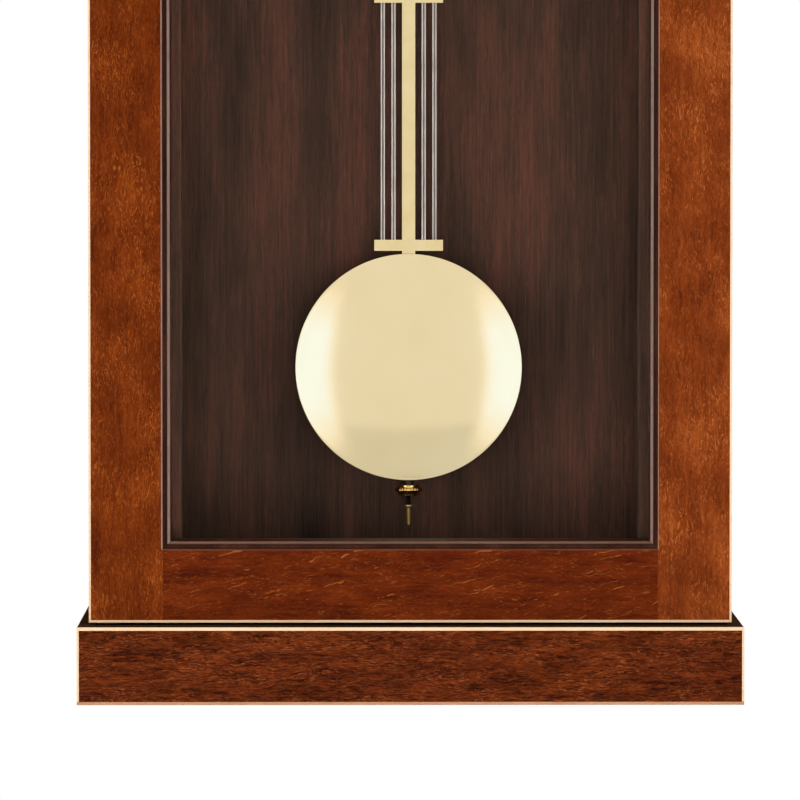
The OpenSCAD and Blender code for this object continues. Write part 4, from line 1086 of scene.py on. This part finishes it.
    def nut(self) -> None:
        """Spin the rating nut, with a hub above and below its wide ring, and knurl the ring."""
        bore, neck, hub = self.stud_r + 0.05, 1.9, self.hub_r
        low = [(bore, -6.1), (hub - 0.4, -6.1), *arc((hub - 0.3, -5.8), (0.3, 0.3), -80, 0, 5), (hub, -4.75)]
        wide = arc((self.nut_r - 0.75, -3.75), (0.75, 0.85), -88, 88, 12)
        ring = [(hub + 0.15, -4.62), *wide, (hub + 0.15, -2.88)]
        high = [(hub, -2.75), *arc((hub - 0.3, -2.0), (0.3, 0.3), 0, 80, 5), (neck + 0.2, -1.7)]
        high += [(neck, -1.6), (neck, 0.0), (bore, 0.0)]
        bm = bmesh.new()
        turn(bm, low + ring + high, self.ridges * 6, upright(0.0, self.depth, self.nut_z), closed=True)
        axis = Vector((0.0, self.depth * MM))
        for vert in bm.verts:
            arm = vert.co.xy - axis
            past = arm.length / MM - (self.nut_r - 0.9)
            if past > 0:
                wave = 0.5 - 0.5 * math.cos(self.ridges * math.atan2(arm.y, arm.x))
                vert.co.xy = axis + arm * (1 - 0.2 * past * wave * MM / arm.length)
        shade(bm, 50)
        # the nut's neck above its upper hub takes painted shade
        for face in bm.faces:
            face.material_index = int(face.calc_center_median().z / MM > self.nut_z - 1.72)
        piece(bm, "knurled_rating_nut", Body.NUT, (TURNED_BRASS, SHADED_THREAD), ("rating_nut",))


@dataclass
class Dial:
    """The dial: enamel plate, numerals, minute ring, bezel, eyelet, hands and hand nut."""

    x: float = 0.0
    face_y: float = -94.0
    z: float = -107.8
    board_y: float = -93.0
    rise: float = 0.06
    numeral_out: float = 73.5
    numeral_h: float = 16.0
    thick: float = 1.9
    thin: float = 0.65
    serif: float = 0.55
    wide: float = 9.0
    narrow: float = 3.9
    ring_out: float = 80.2
    ring_in: float = 76.2
    ring_line: float = 0.45
    bezel_r: float = 92.0
    bezel_in: float = 84.0
    bezel_h: float = 4.5
    bezel_lip: float = 1.2
    seat_r: float = 88.2
    eyelet_z: float = -149.417

    def build(self) -> None:
        """Make the dial's pieces."""
        Board("dial_plate", "enamel_dial", Slot.DIAL, ENAMEL, 0.2).build(Body.CASE)
        self.numerals()
        self.minute_ring()
        self.bezel()
        self.eyelet()
        Board("minute_hand", "leaf_minute_hand", Slot.BLACK, BLACK_STEEL, 0.18).build(Body.CENTRE)
        Board("hour_hand", "leaf_hour_hand", Slot.BLACK, BLACK_STEEL, 0.18).build(Body.HOUR)
        self.hand_nut()

    def on_dial(self, clock_angle: float, radius: float) -> Matrix:
        """Give the place of a flat mark that stands on the dial.

        Args:
            clock_angle: Degrees clockwise from twelve.
            radius: Distance from the dial's centre in millimetres.

        Returns:
            From the mark's own plane to the shared frame.
        """
        centre = Matrix.Translation(Vector((self.x, self.face_y, self.z)) * MM)
        angle = Matrix.Rotation(math.radians(clock_angle), 4, "Y")
        out = Matrix.Translation((0, 0, radius * MM))
        return centre @ angle @ out @ Matrix.Rotation(math.pi / 2, 4, "X")

    def stroke(self, bm: BMesh, place: Matrix, low: Point, high: Point, width: float) -> None:
        """Lay one straight stroke between two points, with level ends.

        Args:
            bm: The mesh that takes it.
            place: From the mark's plane to the shared frame.
            low: Middle of its lower end in millimetres.
            high: Middle of its upper end.
            width: Level width of the stroke.
        """
        lean = Matrix.Identity(4)
        lean[0][0], lean[0][1], lean[0][3] = width * MM, (high[0] - low[0]) * MM, (low[0] + high[0]) / 2 * MM
        lean[1][1], lean[1][3] = (high[1] - low[1]) * MM, (low[1] + high[1]) / 2 * MM
        bmesh.ops.create_grid(bm, x_segments=1, y_segments=1, size=0.5, matrix=place @ lean)

    def letter(self, bm: BMesh, place: Matrix, kind: str, left: float) -> float:
        """Draw one Roman letter with its serifs.

        Args:
            bm: The mesh that takes it.
            place: From the numeral's plane to the shared frame.
            kind: I, V or X.
            left: Its left edge in millimetres.

        Returns:
            The letter's width.
        """
        top, base = 0.0, -self.numeral_h
        if kind == "I":
            width = self.narrow
            middle = left + width / 2
            self.stroke(bm, place, (middle, base), (middle, top), self.thick)
            feet = [(middle, base), (middle, top - self.serif)]
            foot_w = width - 0.3
        else:
            width = self.wide
            heads = (left + 2.0, left + width - 2.0)
            tip = left + width / 2
            ends = (tip, tip) if kind == "V" else (heads[1], heads[0])
            self.stroke(bm, place, (ends[0], base), (heads[0], top), self.thick)
            self.stroke(bm, place, (ends[1], base), (heads[1], top), self.thin)
            feet = [(heads[0], top - self.serif), (heads[1], top - self.serif)]
            if kind == "X":
                feet += [(heads[0], base), (heads[1], base)]
            foot_w = 3.6
        for x, y in feet:
            self.stroke(bm, place, (x, y), (x, y + self.serif), foot_w)
        return width

    def numerals(self) -> None:
        """Draw the twelve hours in Roman letters, feet to the centre."""
        widths = {"I": self.narrow, "V": self.wide, "X": self.wide}
        bm = bmesh.new()
        hours = ("XII", "I", "II", "III", "IIII", "V", "VI", "VII", "VIII", "IX", "X", "XI")
        for hour, letters in enumerate(hours):
            place = self.on_dial(30.0 * hour, self.numeral_out)
            left = -sum(widths[k] for k in letters) / 2
            for kind in letters:
                left += self.letter(bm, place, kind, left)
        self.raise_marks(bm, "dial_numerals")

    def minute_ring(self) -> None:
        """Draw the two rings and the sixty bars of the minute track, and the hour circle."""
        bm = bmesh.new()
        flat = self.on_dial(0.0, 0.0)
        for radius in (self.ring_out, self.ring_in, self.numeral_out - self.numeral_h - 2.5):
            circles = [
                bmesh.ops.create_circle(bm, cap_ends=False, radius=r * MM, segments=180, matrix=flat)["verts"]
                for r in (radius, radius - self.ring_line)
            ]
            loops = {e for circle in circles for v in circle for e in v.link_edges}
            bmesh.ops.bridge_loops(bm, edges=list(loops))
        for minute in range(60):
            place = self.on_dial(6.0 * minute, 0.0)
            width = 1.5 if minute % 5 == 0 else 0.5
            self.stroke(bm, place, (0.0, self.ring_in - 0.2), (0.0, self.ring_out - 0.2), width)
        self.raise_marks(bm, "dial_minute_ring")

    def raise_marks(self, bm: BMesh, name: str) -> None:
        """Turn flat marks to the front, give them the thickness of fired ink and finish them.

        Args:
            bm: The marks, flat on the dial.
            name: The piece's name.
        """
        turned = [face for face in bm.faces if face.normal.y > 0]
        bmesh.ops.reverse_faces(bm, faces=turned)
        raised = bmesh.ops.extrude_face_region(bm, geom=list(bm.faces), use_keep_orig=True)
        verts = [g for g in raised["geom"] if isinstance(g, bmesh.types.BMVert)]
        bmesh.ops.translate(bm, verts=verts, vec=(0, -self.rise * MM, 0))
        bmesh.ops.recalc_face_normals(bm, faces=bm.faces)
        piece(bm, name, Body.CASE, (NUMERAL_INK,))

    def bezel(self) -> None:
        """Turn the brass bezel with its round crown and inner step."""
        crown, step = 3.2, self.bezel_lip + 0.9
        top = self.bezel_r - crown
        section = [(self.seat_r, self.bezel_lip), (self.seat_r, 0.0), (self.bezel_r, 0.0)]
        section += arc((top, self.bezel_lip), (crown, self.bezel_h - self.bezel_lip), 4, 90, 14)
        section += arc((top, step), (top - self.bezel_in - 0.6, 2.4), 90, 172, 10)
        section += [(self.bezel_in, self.bezel_lip + 0.8), (self.bezel_in, self.bezel_lip)]
        bm = bmesh.new()
        turn(bm, section, 256, facing_front(self.x, self.board_y, self.z), closed=True)
        shade(bm, 35)
        piece(bm, "turned_bezel", Body.CASE, (TURNED_BRASS,), ("bezel",))

    def eyelet(self) -> None:
        """Turn the winding hole's flanged eyelet."""
        bore, wall, rim = 4.0, 4.8, 6.0
        section = [(bore, -3.0), (wall, -3.0), (wall, 0.0), (rim, 0.0), (rim, 0.3)]
        section += arc((bore + 0.7, 0.25), (rim - bore - 0.75, 0.35), 20, 160, 8)
        section += [(bore, 0.1)]
        bm = bmesh.new()
        turn(bm, section, 64, facing_front(self.x, self.face_y, self.eyelet_z), closed=True)
        shade(bm, 35)
        piece(bm, "turned_eyelet", Body.CASE, (TURNED_BRASS,), ("winding_eyelet",))

    def hand_nut(self) -> None:
        """Turn the small domed nut that holds the hands."""
        lo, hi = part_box("hand_nut")
        rim, height = (hi.x - lo.x) / 2 / MM, (hi.y - lo.y) / MM
        section = [(1.55, 0.0), (rim, 0.0), (rim, 0.45 * height)]
        section += arc((rim - 0.7, 0.45 * height), (0.7, 0.55 * height), 0, 90, 8)
        section += [(1.55, height)]
        bm = bmesh.new()
        turn(bm, section, 48, facing_front(self.x, hi.y / MM, self.z), closed=True)
        shade(bm, 40)
        piece(bm, "domed_hand_nut", Body.CENTRE, (TURNED_BRASS,), ("hand_nut",))


@dataclass
class Movement:
    """The movement behind the dial, which keeps its CAD shapes."""

    brass: tuple[str, ...] = (
        "front_plate", "back_plate", "plate_pillars", "movement_posts", "suspension_bracket", "centre_arbor",
        "cannon_pinion", "minute_wheel", "hour_wheel", "third_arbor", "escape_arbor", "intermediate_arbor",
        "barrel",
    )
    steel: tuple[str, ...] = ("anchor_and_crutch", "mainspring", "winding_arbor", "click")

    def build(self) -> None:
        """Give the plates, wheels and steelwork their finishes."""
        dress(self.brass, CLOCK_BRASS)
        dress(self.steel, BRIGHT_STEEL)


@dataclass
class Studio:
    """Camera, world, lamps, reflecting cards and a floor far below the clock."""

    eye: Place = (-0.0223, -2.85, -0.3305)
    tilt: float = 2.449
    pan: float = 0.381
    lens: float = 302.6
    fill: float = 0.34
    floor_z: float = -1.0
    floor_front: float = -3.48
    floor_arc: float = 0.8
    floor_bend: float = 1.0
    floor_half: float = 3.0
    floor_back: float = 1.5
    floor_white: float = 0.84
    aim: Place = (0.0, -0.08, -0.42)
    card_y: float = -2.14
    card_z: float = -0.517
    card_x: float = 0.017
    card_near: float = 0.16
    card_bend: float = 0.5
    card_in: float = 0.305
    card_full: float = 0.375
    card_out: float = 0.8
    card_core: float = 0.17
    card_high: float = 0.52
    card_level: float = 2.12

    def build(self) -> None:
        """Make everything that isn't part of the clock."""
        scene = bpy.context.scene
        scene.view_settings.view_transform = "Standard"
        self.camera(scene)
        self.world(scene)
        self.floor()
        for side in (-1, 1):
            self.card(side)
        self.lamp("right_soft_box", (1.38, -1.92, -0.45), (0.8, 1.0), 7.2)
        self.lamp("left_soft_box", (-1.38, -1.92, -0.45), (0.8, 1.0), 11.0)
        self.lamp("right_lamp", (2.1, 0.1, 0.5), (0.9, 0.9), 11.0)
        self.lamp("left_lamp", (-2.1, 0.1, 0.5), (0.9, 0.9), 11.0)
        self.lamp("front_soft_box", (0.04, -2.45, -0.58), (0.85, 1.0), 19.6, False)
        self.lamp("rear_lamp", (0.9, 1.8, 0.9), (1.2, 1.2), 14.0)

    def camera(self, scene: bpy.types.Scene) -> None:
        """Put the camera where the photograph was taken from.

        Args:
            scene: The scene that gets the camera.
        """
        data = bpy.data.cameras.new("eye")
        data.lens = self.lens
        data.clip_end = 50.0
        eye = bpy.data.objects.new("eye", data)
        eye.location = self.eye
        eye.rotation_euler = (math.radians(90 - self.tilt), 0.0, math.radians(-self.pan))
        scene.collection.objects.link(eye)
        scene.camera = eye

    @staticmethod
    def seen(tree: Tree) -> Socket:
        """Tell rays that look at the background from rays that gather light.

        Args:
            tree: The node tree of the world or of a stage material.

        Returns:
            A socket that is 1 for camera, glossy and transmission rays before any matt surface.
        """
        path = add(tree, "ShaderNodeLightPath").outputs
        some = Finish.reckon(tree, "MAXIMUM", path["Is Camera Ray"], path["Is Glossy Ray"])
        look = Finish.reckon(tree, "MAXIMUM", some, path["Is Transmission Ray"])
        first = Finish.reckon(tree, "LESS_THAN", path["Diffuse Depth"], 0.5)
        return Finish.reckon(tree, "MULTIPLY", look, first)

    def world(self, scene: bpy.types.Scene) -> None:
        """Make a white room that gives only part of its light.

        Args:
            scene: The scene that gets the world.
        """
        scene.world = bpy.data.worlds.new("white_room")
        scene.world.use_nodes = True
        tree = scene.world.node_tree
        level = Finish.rescale(tree, self.seen(tree), 0.0, 1.0, self.fill, 1.0)
        ground = tree.nodes["Background"]
        ground.inputs["Color"].default_value = (1.0, 1.0, 1.0, 1.0)
        tree.links.new(level, ground.inputs["Strength"])

    def floor(self) -> None:
        """Lay a pale floor that the brass reflects and the camera looks past."""
        bm = bmesh.new()
        steps = [self.floor_arc * i / 12 for i in range(-12, 13)]
        far = [(x, self.floor_front - self.floor_bend * x * x) for x in steps]
        wide, back = self.floor_half, self.floor_back
        rim = [(-wide, back), (-wide, far[0][1]), *far, (wide, far[-1][1]), (wide, back)]
        bm.faces.new([bm.verts.new((x, y, self.floor_z)) for x, y in rim])
        material = bpy.data.materials.new("pale_floor")
        material.use_nodes = True
        tree = material.node_tree
        matt = tree.nodes["Principled BSDF"]
        matt.inputs["Base Color"].default_value = (0.7, 0.7, 0.69, 1.0)
        glow = add(tree, "ShaderNodeEmission", {"Strength": self.floor_white}).outputs["Emission"]
        Finish.cover(tree, self.seen(tree), matt.outputs["BSDF"], glow)
        self.staged(bm, "pale_floor", material)

    def card(self, side: int) -> None:
        """Stand a tall soft light beside the camera, bright in its middle.

        Args:
            side: -1 for the left, 1 for the right.
        """
        bm = bmesh.new()
        at = Vector((self.card_x + side * (self.card_near + self.card_out) / 2, self.card_y, self.card_z))
        size = Matrix.Diagonal((self.card_out - self.card_near, 2 * self.card_high, 1.0, 1.0))
        stand = Matrix.Translation(at) @ Matrix.Rotation(math.pi / 2, 4, "X") @ size
        bmesh.ops.create_grid(bm, x_segments=1, y_segments=1, size=0.5, matrix=stand)
        material = bpy.data.materials.new("soft_light_card")
        material.use_nodes = True
        tree = material.node_tree
        place = add(tree, "ShaderNodeTexCoord").outputs["Object"]
        away = add(
            tree, "ShaderNodeVectorMath", {0: place, 1: (self.card_x, 0.0, self.card_z)}, operation="SUBTRACT"
        ).outputs["Vector"]
        far = add(tree, "ShaderNodeVectorMath", {0: away}, operation="ABSOLUTE").outputs["Vector"]
        parts = add(tree, "ShaderNodeSeparateXYZ", {0: far}).outputs
        square = Finish.reckon(tree, "MULTIPLY", parts["Z"], parts["Z"])
        bent = Finish.reckon(tree, "MULTIPLY_ADD", square, self.card_bend, parts["X"])
        inner = Finish.rescale(tree, bent, self.card_in, self.card_full, 0.0, 1.0)
        upper = Finish.rescale(tree, parts["Z"], self.card_core, self.card_high, 1.0, 0.0)
        level = Finish.reckon(tree, "MULTIPLY", inner, upper)
        # the card's edge is as white as the room, and its middle is a cool white that brass turns to cream
        ramp = ((0.0, "#b7b7b7"), (0.5, "#c7c4c3"), (1.0, "#c6d6f4"))
        colour = add(tree, "ShaderNodeValToRGB", {"Fac": level}, ramp=ramp).outputs["Color"]
        glow = add(tree, "ShaderNodeEmission", {"Color": colour, "Strength": self.card_level})
        # the dim inner part is clear, so that the brass shows the floor through it
        solid = Finish.rescale(tree, level, 0.0, 0.6, 0.0, 1.0)
        shown = Finish.reckon(tree, "MULTIPLY", solid, self.seen(tree))
        clear = add(tree, "ShaderNodeBsdfTransparent").outputs["BSDF"]
        Finish.cover(tree, shown, clear, glow.outputs["Emission"])
        self.staged(bm, "soft_light_card", material).visible_diffuse = False

    @staticmethod
    def staged(bm: BMesh, name: str, material: bpy.types.Material) -> bpy.types.Object:
        """Add a stage object that the camera doesn't see.

        Args:
            bm: Its shape; it is freed.
            name: Its name.
            material: Its material.

        Returns:
            The new object.
        """
        mesh = bpy.data.meshes.new(name)
        bm.to_mesh(mesh)
        bm.free()
        mesh.materials.append(material)
        made = bpy.data.objects.new(name, mesh)
        made.visible_camera = False
        bpy.context.scene.collection.objects.link(made)
        made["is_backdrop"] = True
        return made

    def lamp(self, name: str, at: Place, size: Point, power: float, mirrored: bool = True) -> None:
        """Hang one soft lamp that looks at the clock.

        Args:
            name: The lamp's name.
            at: Its place in metres.
            size: Its width and height in metres.
            power: Its power in watts.
            mirrored: Whether metal shows its reflection.
        """
        data = bpy.data.lights.new(name, "AREA")
        data.shape = "RECTANGLE"
        data.size, data.size_y = size
        data.energy = power
        made = bpy.data.objects.new(name, data)
        made.location = at
        made.rotation_euler = (Vector(self.aim) - Vector(at)).to_track_quat("-Z", "Y").to_euler()
        # no lamp shows beside the clock or through the pane of the open door
        made.visible_camera = made.visible_transmission = False
        made.visible_glossy = mirrored
        bpy.context.scene.collection.objects.link(made)


def main() -> None:
    """Build the studio and the clock's sub-assemblies in order."""
    logging.basicConfig(level=logging.INFO, format="%(name)s: %(message)s")
    for assembly in (Studio(), Carcase(), Screws(), Door(), Pendulum(), Dial(), Movement()):
        LOG.info("%s", type(assembly).__name__)
        assembly.build()


if __name__ == "__main__":
    main()
